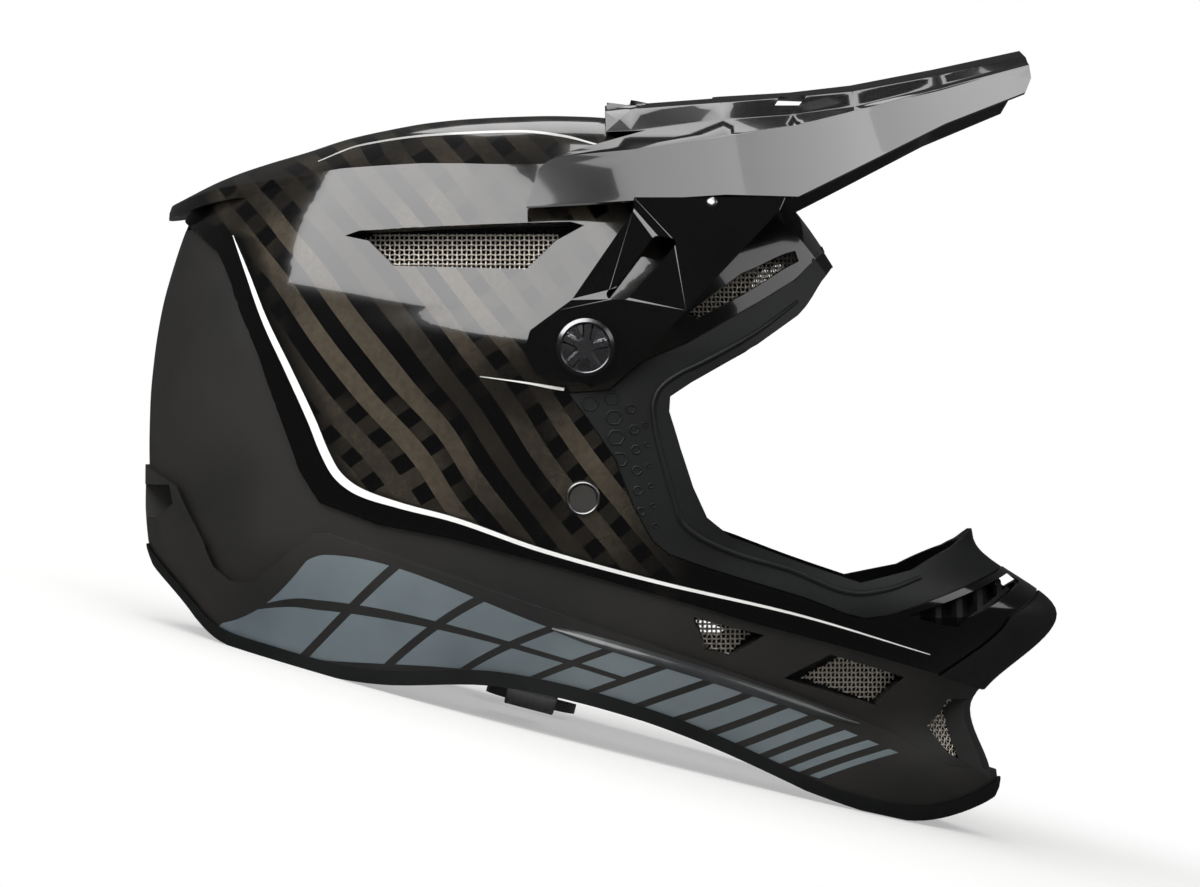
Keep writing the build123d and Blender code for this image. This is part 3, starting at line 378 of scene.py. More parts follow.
# %% [markdown]
# ## The smooth form under the facets
# The model's shells are ruled between a few level sections, so a polished coat would show each
# strip. Here the same sections are joined by a smooth curve, and a fine copy of each shell is
# moved from the ruled form to the smooth one. Its thickness, cut-outs and seams stay as they are.

# %% Sections of the form
WALL_LEVELS = [
    (840, 245, 950, 0.760, 0.40),
    (778, 232, 991, 0.820, 0.40),
    (708, 216, 970, 0.880, 0.36),
    (613, 186, 1051, 0.930, 0.34),
    (538, 155, 969, 0.960, 0.45),
    (493, 151, 963, 0.977, 0.46),
    (448, 150, 955, 0.990, 0.48),
    (403, 151, 941, 0.998, 0.49),
    (358, 155, 925, 1.000, 0.50),
    (313, 162, 906, 0.975, 0.53),
    (268, 174, 885, 0.930, 0.55),
    (223, 190, 866, 0.860, 0.55),
    (178, 215, 845, 0.760, 0.55),
    (133, 250, 820, 0.640, 0.55),
    (88, 290, 790, 0.500, 0.55),
]
CHIN_LEVELS = 5
NOSE_REACH = 0.50
TAIL = 0.55
ROOF_LINE = [(150, 225), (190, 204), (230, 184), (270, 170), (310, 158), (350, 145), (390, 136),
             (430, 129), (470, 125), (510, 123), (550, 122), (590, 123), (630, 127), (670, 137),
             (710, 151), (750, 175), (790, 212), (830, 268), (870, 345), (1100, 480)]
ROOF_RADIUS = 180.0
OUTLINE_STEPS = 121


def level_x(px):
    """How far forward a side view column lies on the middle plane, in mm."""
    return (px - CENTRE[0]) * PIXEL


def level_z(py):
    """How high a side view row lies on the middle plane, in mm."""
    return (CENTRE[1] - py) * PIXEL


WIDEST = level_x(550.0)


def smooth_curve(at, places, values):
    """A curve through points that never overshoots them, read at many places."""
    places, values = np.asarray(places, float), np.asarray(values, float)
    gaps = np.diff(places)
    slopes = np.diff(values, axis=0) / gaps[:, None]
    tangents = np.zeros_like(values)
    same = slopes[:-1] * slopes[1:] > 0
    weight = (gaps[:-1] + gaps[1:])[:, None]
    mean = 3 * weight / ((weight + gaps[1:, None]) / np.where(same, slopes[:-1], 1)
                         + (weight + gaps[:-1, None]) / np.where(same, slopes[1:], 1))
    tangents[1:-1] = np.where(same, mean, 0)
    tangents[0], tangents[-1] = slopes[0], slopes[-1]
    at = np.clip(at, places[0], places[-1])
    index = np.clip(np.searchsorted(places, at) - 1, 0, len(gaps) - 1)
    step = gaps[index][:, None]
    t = ((at - places[index]) / gaps[index])[:, None]
    return ((1 + 2 * t) * (1 - t) ** 2 * values[index] + t * (1 - t) ** 2 * step * tangents[index]
            + t ** 2 * (3 - 2 * t) * values[index + 1] + t ** 2 * (t - 1) * step * tangents[index + 1])


def ruled_curve(at, places, values):
    """Straight runs between the same points."""
    values = np.asarray(values, float)
    return np.stack([np.interp(at, places, values[:, i]) for i in range(values.shape[1])], 1)


def wall_rows(step):
    """Height and section values, from the bottom up, of the sections that a shell was made from."""
    rows = WALL_LEVELS[:CHIN_LEVELS - 1] + WALL_LEVELS[CHIN_LEVELS - 1:-1:step] + WALL_LEVELS[-1:]
    return [level_z(row[0]) for row in rows], [[level_x(row[1]), level_x(row[2]), HALF_WIDTH * row[3], row[4]]
                                               for row in rows]


def wall_outline(section, t, nose):
    """Points of level sections: t runs round a quarter, nose picks the front or the rear one."""
    rear, front, half, blunt = section.T
    end = np.where(nose, front, rear)
    mid_x = np.where(nose, WIDEST + (front - WIDEST) * NOSE_REACH, WIDEST + (rear - WIDEST) * TAIL)
    end_y = np.where(nose, half * blunt, half * TAIL)
    a, b, c, d = (1 - t) ** 3, 3 * t * (1 - t) ** 2, 3 * t ** 2 * (1 - t), t ** 3
    return np.stack([a * end + b * end + c * mid_x + d * WIDEST, b * end_y + (c + d) * half], 1)


def on_wall(points, heights_values, curve):
    """For level points, the nearest place of the outline: section values, t, nose and distance."""
    section = curve(points[:, 2], *heights_values)
    nose = points[:, 0] > WIDEST
    best = np.full(len(points), np.inf)
    best_t = np.zeros(len(points))
    flat = np.stack([points[:, 0], np.abs(points[:, 1])], 1)
    for t in np.linspace(0, 1, OUTLINE_STEPS):
        gap = np.linalg.norm(wall_outline(section, np.full(len(points), t), nose) - flat, axis=1)
        closer = gap < best
        best[closer], best_t[closer] = gap[closer], t
    return section, best_t, nose, best


def roof_rows(step):
    """Places and heights of the crown line that a shell was made from."""
    rows = ROOF_LINE[:-2:step] + ROOF_LINE[-2:]
    return [level_x(px) for px, py in rows], [[level_z(py)] for px, py in rows]


def roof_drop(y):
    """How far the roof has fallen at y off the middle plane."""
    return ROOF_RADIUS - np.sqrt(np.maximum(ROOF_RADIUS ** 2 - y ** 2, 1.0))


# %% [markdown]
# ## From ruled to smooth
# Each point of a shell is looked up on the ruled form, the same place is found on the smooth
# form, and the point moves by the difference. Near the crease between wall and roof both moves
# are added, so that the crease stays one line. The smooth form also gives exact normals, and a
# polished coat needs those more than it needs small triangles. A face takes the form's normal
# only where it lies along the form; a sliver's own normal means little, so it needs less proof.

# %% Smooth copies of the shells
FULL_MOVE = 6.0
CREASE = 15.0
HEAD_BACK = 20
OUTLINE_STEP = 0.01
HEIGHT_STEP = 0.5
MATCH = 0.88
SLIVER = 2.0
SLIVER_MATCH = 0.6
OVERLAY_OUT = 2.3
ROOF_NEAR = 0.25
WALL_NEAR = 0.35
MOST_CUTS = 8


def form_move(points, step):
    """How far level points move from the ruled form to the smooth one."""
    section, t, nose = on_wall(points, wall_rows(step), ruled_curve)[:3]
    smooth = smooth_curve(points[:, 2], *wall_rows(1))
    here = wall_outline(section, t, nose)
    flat = wall_outline(smooth, t, nose) - here
    wall_gap = np.abs(np.hypot(points[:, 0] + HEAD_BACK, points[:, 1])
                      - np.hypot(here[:, 0] + HEAD_BACK, here[:, 1]))
    ruled_top = ruled_curve(points[:, 0], *roof_rows(step))[:, 0]
    smooth_top = smooth_curve(points[:, 0], *roof_rows(1))[:, 0]
    roof_gap = np.abs(points[:, 2] - ruled_top + roof_drop(points[:, 1]))
    wall_share, roof_share = (np.clip(1 - (gap - FULL_MOVE) / CREASE, 0, 1) for gap in (wall_gap, roof_gap))
    return np.stack([flat[:, 0] * wall_share, flat[:, 1] * np.sign(points[:, 1]) * wall_share,
                     (smooth_top - ruled_top) * roof_share], 1)


def form_normals(points):
    """Normals of the smooth wall and of the smooth roof at level points."""
    rows = wall_rows(1)
    section, t, nose = on_wall(points, rows, smooth_curve)[:3]
    section_up = smooth_curve(points[:, 2] + HEIGHT_STEP, *rows)
    here = wall_outline(section, t, nose)
    after, before = (wall_outline(section, np.clip(t + s, 0, 1), nose) for s in (OUTLINE_STEP, -OUTLINE_STEP))
    along = after - before
    up = wall_outline(section_up, t, nose) - here
    side = np.where(points[:, 1] < 0, -1.0, 1.0)
    first = np.stack([along[:, 0], along[:, 1] * side, np.zeros(len(t))], 1)
    second = np.stack([up[:, 0], up[:, 1] * side, np.full(len(t), HEIGHT_STEP)], 1)
    wall = np.cross(first, second)
    wall *= np.sign((wall * np.stack([here[:, 0] + HEAD_BACK, here[:, 1] * side, 0 * t], 1)).sum(1))[:, None]
    wall /= np.linalg.norm(wall, axis=1)[:, None] + 1e-12
    ahead, astern = (smooth_curve(points[:, 0] + s, *roof_rows(1))[:, 0] for s in (1, -1))
    lean = points[:, 1] / np.sqrt(np.maximum(ROOF_RADIUS ** 2 - points[:, 1] ** 2, 1.0))
    roof = np.stack([-(ahead - astern) / 2, lean, np.ones(len(t))], 1)
    return wall, roof / np.linalg.norm(roof, axis=1)[:, None]


def fine_copy(node, limit):
    """A welded copy of a model node whose edges are all shorter than a limit in mm."""
    mesh = bpy.data.meshes.new(node + "_smooth")
    bm = bmesh.new()
    bm.from_mesh(frame["nodes"][node].data)
    bmesh.ops.remove_doubles(bm, verts=bm.verts, dist=0.02 * MM)
    for _ in range(MOST_CUTS):
        long_edges = [edge for edge in bm.edges if edge.calc_length() > limit * MM]
        if not long_edges:
            break
        bmesh.ops.subdivide_edges(bm, edges=long_edges, cuts=1)
        bmesh.ops.triangulate(bm, faces=bm.faces[:])
    bm.to_mesh(mesh)
    bm.free()
    return in_scene(node + "_smooth", mesh)


def read(items, name, width=1, kind=float):
    """One property of all of a mesh's items, as rows of width values."""
    values = np.zeros(len(items) * width, kind)
    items.foreach_get(name, values)
    return values.reshape(-1, width) if width > 1 else values


def points_of(mesh):
    """A mesh's points in the level frame, in mm."""
    turn = np.array(level)
    return read(mesh.vertices, "co", 3) @ turn[:3, :3].T + turn[:3, 3]


def set_points(mesh, points):
    """Puts a mesh's points at level places in mm."""
    turn = np.array(standing)
    mesh.vertices.foreach_set("co", (points @ turn[:3, :3].T + turn[:3, 3]).astype(np.float32).ravel())
    mesh.update()


def set_normals(mesh, candidates):
    """Gives each face corner the form's normal where a face lies along the form."""
    flat = read(mesh.polygons, "normal", 3)
    corners = read(mesh.loops, "vertex_index", 1, int).reshape(-1, 3)
    chosen = np.repeat(flat[:, None, :], 3, 1)
    score = np.where(read(mesh.polygons, "area") < SLIVER * MM * MM, SLIVER_MATCH, MATCH)
    for form in candidates:
        at = (form @ standing_turn.T)[corners]
        dots = (at * flat[:, None, :]).sum(2)
        worst = np.abs(dots).min(1)
        better = worst > score
        chosen[better] = (at * np.sign(dots)[:, :, None])[better]
        score[better] = worst[better]
    mesh.polygons.foreach_set("use_smooth", np.ones(len(flat), bool))
    mesh.normals_split_custom_set(chosen.reshape(-1, 3).tolist())


def smooth_shell(node, finish_name, limit=5.0, outer_step=2):
    """A smooth piece that stands for one shell node."""
    piece = fine_copy(node, limit)
    points = points_of(piece.data)
    move = form_move(points, 2)
    if outer_step == 1:
        ruled = ruled_curve(points[:, 0], *roof_rows(1))[:, 0] - roof_drop(points[:, 1])
        gap = on_wall(points, wall_rows(1), ruled_curve)[3]
        near_roof = np.abs(points[:, 2] - ruled - OVERLAY_OUT) < ROOF_NEAR
        near_wall = np.abs(gap - OVERLAY_OUT) < WALL_NEAR
        move = np.where((near_roof | near_wall)[:, None], form_move(points, 1), move)
    set_points(piece.data, points + move)
    set_normals(piece.data, form_normals(points + move))
    give(piece, finish[finish_name])
    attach(piece, "shell")
    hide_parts(node)
    print(piece.name, len(piece.data.polygons), "faces")
    return piece


overlay = smooth_shell("carbon_overlay", "carbon", 4.0, outer_step=1)
lower_shell = smooth_shell("base_shell", "satin")
eyeport = smooth_shell("eyeport_trim", "rubber")
smooth_shell("rim_trim", "rubber")
panel = smooth_shell("chin_vent_panel", "panel")

# %% [markdown]
# ## Pointing at the shell through the side view
# Painted highlight lines, painted bars and embossed hexagons are placed on the shell from the side.
# The same is done here: a ray from the camera through a pixel of the side view meets the smooth
# shell in one place, and each piece is built up from such places.

# %% Rays through the side view
EYE = Vector((0, -VIEW_DISTANCE, 0))


def tree_of(*pieces):
    """A search tree over pieces, in the level frame and in mm."""
    spots, faces = [], []
    for piece in pieces:
        start = len(spots)
        spots += [Vector(spot) for spot in points_of(piece.data)]
        faces += [[start + i for i in face.vertices] for face in piece.data.polygons]
    return BVHTree.FromPolygons(spots, faces)


def on_shell(tree, pixel, lift):
    """The place a little above what a side view pixel shows, and the way out from it."""
    ray = (level_point(*pixel) - EYE).normalized()
    spot, normal = tree.ray_cast(EYE, ray)[:2]
    if spot is None:
        return None, None
    if normal.dot(ray) > 0:
        normal = -normal
    return spot + normal * lift, normal


def along(points, spacing):
    """Evenly spaced rows on a smooth line through points that may carry more values."""
    values = np.asarray(points, float)
    steps = np.hypot(*np.diff(values[:, :2], axis=0).T)
    lengths = np.concatenate([[0], np.cumsum(steps)])
    count = max(2, int(lengths[-1] / spacing) + 1)
    return smooth_curve(np.linspace(0, lengths[-1], count), lengths, values)


def new_piece(name, spots, faces, material, body, slot, mirrored=False, smooth=True):
    """A mesh piece from level places in mm, with its mirror image on the left if asked."""
    spots = [Vector(spot) for spot in spots]
    if mirrored:
        count = len(spots)
        spots += [Vector((spot.x, -spot.y, spot.z)) for spot in spots]
        faces = faces + [[count + i for i in reversed(face)] for face in faces]
    mesh = bpy.data.meshes.new(name)
    mesh.from_pydata([standing @ spot for spot in spots], [], faces)
    mesh.validate()
    mesh.polygons.foreach_set("use_smooth", [smooth] * len(mesh.polygons))
    piece = in_scene(name, mesh)
    give(piece, material)
    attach(piece, body)
    return piece

def joined(parts):
    """Several lists of places and faces as one."""
    spots, faces = [], []
    for more, ones in parts:
        faces += [[len(spots) + i for i in face] for face in ones]
        spots += more
    return spots, faces


side_tree = tree_of(overlay, lower_shell, panel, eyeport)
print("middle of the side", [round(v, 1) for v in on_shell(side_tree, (500, 440), 0)[0]])

# %% [markdown]
# ## Painted highlight lines
# The white lines are painted highlights: the thin glints that the edge crease of the gloss panel,
# the edge under the visor pad and the roof catch from the studio, laid on as white ribbons under a
# clear coat. Each is a ribbon of small quads: at every step along the line two rays are sent, one
# for each edge, and a tenth of a millimetre keeps the ribbon clear of the shell.

# %% Painted highlight lines
FILM = 0.08
STRIPE_STEP = 3.0


def ways_along(rows):
    """The unit direction of a line of pixels at each of its rows."""
    turns = np.gradient(rows[:, :2], axis=0)
    return turns / np.linalg.norm(turns, axis=1)[:, None]


def stripe(points):
    """Places and faces of a ribbon along side view points that carry the ribbon's width."""
    rows = along(points, STRIPE_STEP)
    spots, faces = [], []
    for (px, py, wide), (tx, ty) in zip(rows, ways_along(rows)):
        edges = [on_shell(side_tree, (px - ty * w, py + tx * w), FILM)[0] for w in (-wide / 2, 0, wide / 2)]
        if None in edges:
            continue
        if spots:
            n = len(spots)
            faces += [[n - 3, n - 2, n + 1, n], [n - 2, n - 1, n + 2, n + 1]]
        spots += edges
    return spots, faces


side_highlight_line = [(233, 235, 0.6), (247, 272, 3.5), (264, 318, 5.5), (289, 371, 7), (312, 421, 8),
               (326, 455, 8.5), (337, 474, 8.5), (357, 490, 8), (400, 505, 6), (450, 518, 5),
               (539, 549, 4.2), (651, 580, 3.6), (800, 615, 2.4), (930, 654, 0.8)]
pad_highlight_line = [(480, 376, 0.5), (530, 383, 2.0), (552, 387, 3.0), (564, 389, 3.0)]
roof_highlight_line = [(318, 161, 0.8), (360, 145, 1.6), (440, 134, 2.2), (522, 131, 2.6), (560, 135, 2.4),
               (600, 145, 1.4)]
# White paint that stands for the glints on the shell's edges and roof: a painted highlight.
highlight_paint, tree, shader, place = new_material("white_painted_highlight", Roughness=0.2, IOR=1.5, Coat_Weight=1.0,
                                         Coat_Roughness=0.03)
mottled(tree, shader, place, 60.0, 3.0, "#e9e9e6", "#f6f6f4")
for name, line in (("side_painted_highlight", side_highlight_line), ("pad_painted_highlight", pad_highlight_line),
                   ("roof_painted_highlight", roof_highlight_line)):
    spots, faces = stripe(line)
    made = new_piece(name, spots, faces, highlight_paint, "shell", "gloss_shell", mirrored=True)
    print(made.name, len(made.data.polygons), "faces")

# %% [markdown]
# ## Painted bars on the lower band
# The band is painted with slanted bars in a blue grey that is only a little lighter than the
# shell, under the same matt lacquer. They get narrower towards the chin, as plain speed bars do,
# and a slit splits the wide ones. Each bar is a grid of rays, and lies a film's thickness proud.

# %% Painted bars
band_top = [(268, 590), (330, 545), (562, 626), (700, 672), (800, 706), (905, 750)]
band_foot = [(215, 628), (300, 664), (460, 672), (640, 716), (760, 762), (880, 800)]
BAR_SLANT = 0.10
BAR_GAP = 0.016
BAR_FIRST = 0.135
BAR_SHRINK = 0.83
BAR_LEAST = 0.010
BAR_SPAN = (0.035, 0.97)
BAR_CELLS = (26, 12)
BAR_TEAR = 9
SPLIT_OVER = 0.06
bar_rows = []
start = BAR_SPAN[0]
wide = BAR_FIRST
while start + wide < BAR_SPAN[1]:
    halves = ((0.08, 0.46), (0.54, 0.95)) if wide > SPLIT_OVER else ((0.08, 0.95),)
    bar_rows += [(start, start + wide, *half) for half in halves]
    start += wide + BAR_GAP
    wide = max(wide * BAR_SHRINK, BAR_LEAST)
top_line = along(band_top, 2.0)
foot_line = along(band_foot, 2.0)


def band_pixel(share, down):
    """A side view pixel of the band: share runs along it and down goes from its top to its foot."""
    ends = [[np.interp(share, np.linspace(0, 1, len(line)), line[:, i]) for i in (0, 1)]
            for line in (top_line, foot_line)]
    return tuple(ends[0][i] + (ends[1][i] - ends[0][i]) * down for i in (0, 1))


spots, faces = [], []
for start, end, high_edge, low_edge in bar_rows:
    grid = []
    for row in range(BAR_CELLS[1] + 1):
        down = high_edge + (low_edge - high_edge) * row / BAR_CELLS[1]
        lean = BAR_SLANT * (0.5 - down)
        shares = [start + lean + (end - start) * i / BAR_CELLS[0] for i in range(BAR_CELLS[0] + 1)]
        grid.append([on_shell(side_tree, band_pixel(share, down), FILM)[0] for share in shares])
    base = len(spots)
    wide = BAR_CELLS[0] + 1
    spots += [spot if spot else Vector() for cells in grid for spot in cells]
    for row in range(BAR_CELLS[1]):
        for i in range(BAR_CELLS[0]):
            corner = [grid[row][i], grid[row][i + 1], grid[row + 1][i + 1], grid[row + 1][i]]
            if None not in corner and max((corner[0] - c).length for c in corner) < BAR_TEAR:
                a = base + row * wide + i
                faces.append([a, a + 1, a + wide + 1, a + wide])
paint, tree, shader, place = new_material("blue_grey_band_paint", Roughness=0.4, IOR=1.5, Coat_Weight=0.25,
                                          Coat_Roughness=0.35)
mottled(tree, shader, place, 12.0, 5.0, "#4d575d", "#6d777b")
band_paint = new_piece("band_paint", spots, faces, paint, "shell", "satin_shell", mirrored=True)
print(band_paint.name, len(band_paint.data.polygons), "faces")

# %% [markdown]
# ## Rubber frame of the face opening
# The frame is moulded rubber. A rounded roll runs beside the opening, and its cheek part is
# embossed with outlined hexagons that shrink towards the opening. A raised line is a ribbon
# whose middle stands higher than its edges, and a hexagon is such a line closed on itself.

# %% Roll and hexagons
RIDGE_SHARES = (-1.0, -0.7, 0.0, 0.7, 1.0)
RIDGE_SINK = 0.05
HEX_HEIGHT = 0.45
HEX_SQUEEZE = 0.9


def ridge(tree, points, height, closed=False):
    """A raised line along side view points that carry its width."""
    rows = np.asarray(points, float) if closed else along(points, STRIPE_STEP)
    turns = ways_along(rows)
    if closed:
        turns = np.roll(rows[:, :2], -1, axis=0) - np.roll(rows[:, :2], 1, axis=0)
        turns /= np.linalg.norm(turns, axis=1)[:, None]
    spots, faces = [], []
    wide = len(RIDGE_SHARES)
    for (px, py, width), (tx, ty) in zip(rows, turns):
        cells = [on_shell(tree, (px - ty * width / 2 * s, py + tx * width / 2 * s),
                          height * math.sqrt(max(0, 1 - s * s)) - RIDGE_SINK)[0] for s in RIDGE_SHARES]
        if None in cells:
            continue
        spots += cells
    rings = len(spots) // wide
    for row in range(rings if closed else rings - 1):
        for i in range(wide - 1):
            a, b = row * wide + i, (row + 1) % rings * wide + i
            faces.append([a, a + 1, b + 1, b])
    return spots, faces


frame_tree = tree_of(eyeport)
opening_roll = [(797, 301, 3), (757, 331, 5), (700, 363, 6), (683, 371, 6), (667, 381, 6), (657, 392, 6),
                (653, 407, 6), (655, 427, 6), (660, 450, 6), (667, 475, 6), (674, 500, 6), (682, 522, 6),
                (695, 534, 6), (735, 553, 6), (786, 568, 6), (860, 593, 6), (887, 589, 6), (920, 577, 5)]
roll = new_piece("opening_roll", *ridge(frame_tree, opening_roll, 1.1), finish["rubber"], "shell",
                 "rubber_trim", mirrored=True)
hexagons = [(590, 403, 8.5), (612, 398, 7.5), (614, 417, 8.5), (616, 437, 8.5), (620, 459, 8.0),
            (631, 408, 5.2), (634, 429, 5.2), (636, 449, 5.0), (637, 470, 5.0), (638, 490, 4.8),
            (641, 511, 4.6), (645, 424, 2.8), (647, 444, 2.8), (649, 465, 2.8), (651, 485, 2.8),
            (653, 505, 2.8), (655, 525, 2.6)]
rings = []
for px, py, radius in hexagons:
    corners = []
    for corner in range(6):
        a, b = (math.radians(60 * corner), math.radians(60 * corner + 60))
        for share in (0.0, 1 / 3, 2 / 3):
            x = (math.cos(a) * (1 - share) + math.cos(b) * share) * radius
            y = (math.sin(a) * (1 - share) + math.sin(b) * share) * radius * HEX_SQUEEZE
            corners.append((px + x, py + y, min(2.2, radius * 0.4)))
    rings.append(ridge(frame_tree, corners, HEX_HEIGHT, closed=True))
hexes = new_piece("frame_hexagons", *joined(rings), finish["rubber"], "shell", "rubber_trim", mirrored=True)
print(roll.name, len(roll.data.polygons), hexes.name, len(hexes.data.polygons))

# %% [markdown]
# ## Ridge of the lower band
# A soft ridge runs along the lower band and catches a long highlight from above. The imported shell
# is flat there, so a low raised line carries it, and its normals lean up a little, as they do
# on the rounder real one. Its gloss lacquer is also lighter than the satin round it, and that
# lighter colour is painted highlight.

# %% Band ridge
RIDGE_TILT = 0.45
# Lighter than the shell's satin: a painted highlight along the ridge, under a real gloss coat.
ridge_highlight_lacquer = moulded("ridge_lacquer_painted_highlight", "#2a2c2d", "#363839", 0.3, 900.0, 0.02, IOR=1.5,
                        Coat_Weight=1.0, Coat_Roughness=0.15)
band_ridge_line = [(552, 628, 3), (590, 639, 11), (700, 672, 13), (800, 705, 12), (858, 723, 3)]
band_ridge = new_piece("band_ridge", *ridge(side_tree, band_ridge_line, 0.9), ridge_highlight_lacquer, "shell",
                       "satin_shell", mirrored=True)
tilted = [((level.to_3x3() @ vertex.normal).normalized() + Vector((0, 0, RIDGE_TILT))).normalized()
          for vertex in band_ridge.data.vertices]
band_ridge.data.normals_split_custom_set_from_vertices([to_standing.to_3x3() @ way for way in tilted])
print(band_ridge.name, len(band_ridge.data.polygons), "faces")

# %% [markdown]
# ## Woven wire in the vents
# Each vent is closed by a cloth of steel wire, two millimetres from wire to wire. Every wire is a
# thin tube that goes over and under the ones that cross it, which a cosine does well. It is laid
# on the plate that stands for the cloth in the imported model, and stops where the plate stops.

# %% Woven wire
WIRE_PITCH = 1.95
WIRE_RADIUS = 0.36
WIRE_SIDES = 5
WIRE_WAVE = 0.34
WAVE_STEPS = 4
PLATE_HALF = 0.5
STEEP_LEAST = 0.3


def tube_faces(rings, wide, capped=True):
    """Faces of a tube from rings of wide points each, with a cap at both ends."""
    faces = []
    for row in range(rings - 1):
        for k in range(wide):
            a, b = row * wide + k, row * wide + (k + 1) % wide
            faces.append([a, b, b + wide, a + wide])
    if capped:
        faces += [list(range(wide))[::-1], list(range((rings - 1) * wide, rings * wide))]
    return faces


def ring_round(spot, side, other, radius, count):
    """Places on a circle round a spot."""
    turns = [math.tau * k / count for k in range(count)]
    return [spot + (side * math.cos(turn) + other * math.sin(turn)) * radius for turn in turns]


def tube(spots, outs, radius):
    """A closed tube of few sides along places, with a way out at each."""
    made = []
    for i, (spot, out) in enumerate(zip(spots, outs)):
        ahead = (spots[min(i + 1, len(spots) - 1)] - spots[max(i - 1, 0)]).normalized()
        side = ahead.cross(out).normalized()
        made += ring_round(spot, side, side.cross(ahead), radius, WIRE_SIDES)
    return made, tube_faces(len(spots), WIRE_SIDES)


def wire_cloth(place_at, low, high, steps):
    """Wires both ways over a field; place_at gives a place and a way out, or nothing."""
    wires = []
    counts = [int((high[i] - low[i]) / steps[i]) + 1 for i in (0, 1)]
    for way in (0, 1):
        last = (counts[1 - way] + 1) * WAVE_STEPS
        for number in range(counts[way]):
            run = []
            for step in range(last + 1):
                at = [0, 0]
                at[way] = low[way] + (number + 0.5) * steps[way]
                at[1 - way] = low[1 - way] + step / WAVE_STEPS * steps[1 - way]
                spot, out = place_at(*at)
                if spot is not None:
                    wave = math.cos(math.pi * (step / WAVE_STEPS + 0.5 + number + way)) * WIRE_WAVE
                    run.append((spot + out * wave, out))
                if (spot is None or step == last) and run:
                    if len(run) > 2:
                        wires.append(tube(*zip(*run), WIRE_RADIUS))
                    run = []
    return joined(wires)


def side_pixel(x, y, z):
    """The side view pixel that shows a level place."""
    shrink = 1 - abs(y) / VIEW_DISTANCE
    return CENTRE[0] + x / PIXEL / shrink, CENTRE[1] - z / PIXEL / shrink


pixel_pitch = WIRE_PITCH / PIXEL
for vent in ("side", "brow", "cheek", "chin", "front", "rear"):
    node = frame["nodes"][vent + "_vent_mesh_right"]
    plate = tree_of(node)
    pixels = [side_pixel(*spot) for spot in points_of(node.data)]
    low = [min(p[i] for p in pixels) for i in (0, 1)]
    high = [max(p[i] for p in pixels) for i in (0, 1)]
    spot, out = on_shell(plate, [(low[i] + high[i]) / 2 for i in (0, 1)], 0)
    steep = abs(out.y) / math.hypot(out.x, out.y) if out else 0.6
    parts = wire_cloth(lambda px, py: on_shell(plate, (px, py), -PLATE_HALF), low, high,
                       (pixel_pitch * max(steep, STEEP_LEAST), pixel_pitch))
    cloth = new_piece(vent + "_wire_cloth", *parts, finish["wire"], "shell", "wire_mesh", mirrored=True)
    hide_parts(vent + "_vent_mesh_right", vent + "_vent_mesh_left")
    print(cloth.name, len(cloth.data.polygons), "faces")

node = frame["nodes"]["rear_exhaust_mesh"]
plate = tree_of(node)
spots = points_of(node.data)


def behind(y, z):
    """The place a ray from behind the helmet meets, and the way out from it."""
    spot, out = plate.ray_cast(Vector((spots[:, 0].min() - 50, y, z)), Vector((1, 0, 0)))[:2]
    return (None, None) if spot is None else (spot - out * PLATE_HALF, out)


parts = wire_cloth(behind, spots.min(0)[1:], spots.max(0)[1:], (WIRE_PITCH, WIRE_PITCH * 0.8))
cloth = new_piece("exhaust_wire_cloth", *parts, finish["wire"], "shell", "wire_mesh")
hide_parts("rear_exhaust_mesh")
print(cloth.name, len(cloth.data.polygons), "faces")

# %% [markdown]
# ## Visor
# The visor is pressed and bent from one sheet, so it has long straight folds and nothing across
# them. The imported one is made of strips; welding its points and calling only real folds sharp
# makes each long facet read as one smooth surface. Two areas need more than that. The side strips
# take their normals from a smooth line along the visor, given as level x, lean ahead and lean to
# the side, and the upright plates of the arms take the normal that points straight out.

# %% Visor
FOLD_ANGLE = math.radians(13)
EDGE_ANGLE = math.radians(40)
EDGE_ROUND = 0.45
PLATE_RISE = 0.45
PLATE_AHEAD = 0.2
PLATE_AREA = 4.0
SIDE_LEAN = (0.40, 0.88)
SIDE_RISE = 0.4
SIDE_END = 160.0
SIDE_LINE = [(-60, 0.0, 0.84), (0, 0.0, 0.83), (40, 0.0, 0.74), (64, 0.0, 0.65), (88, -0.02, 0.58),
             (112, -0.08, 0.50), (140, -0.13, 0.44), (170, -0.14, 0.41)]
visor = fine_copy("visor", 1000.0)
visor.name = "visor_sheet"
visor.data.polygons.foreach_set("use_smooth", [True] * len(visor.data.polygons))
visor.data.set_sharp_from_angle(angle=FOLD_ANGLE)
edges = visor.modifiers.new("rounded_edges", "BEVEL")
edges.width = EDGE_ROUND * MM
edges.segments = 2
edges.limit_method = "ANGLE"
edges.angle_limit = EDGE_ANGLE
edges.harden_normals = True


def baked(piece):
    """Makes what a piece's modifiers give its mesh."""
    graph = bpy.context.evaluated_depsgraph_get()
    mesh = bpy.data.meshes.new_from_object(piece.evaluated_get(graph))
    piece.modifiers.clear()
    piece.data = mesh


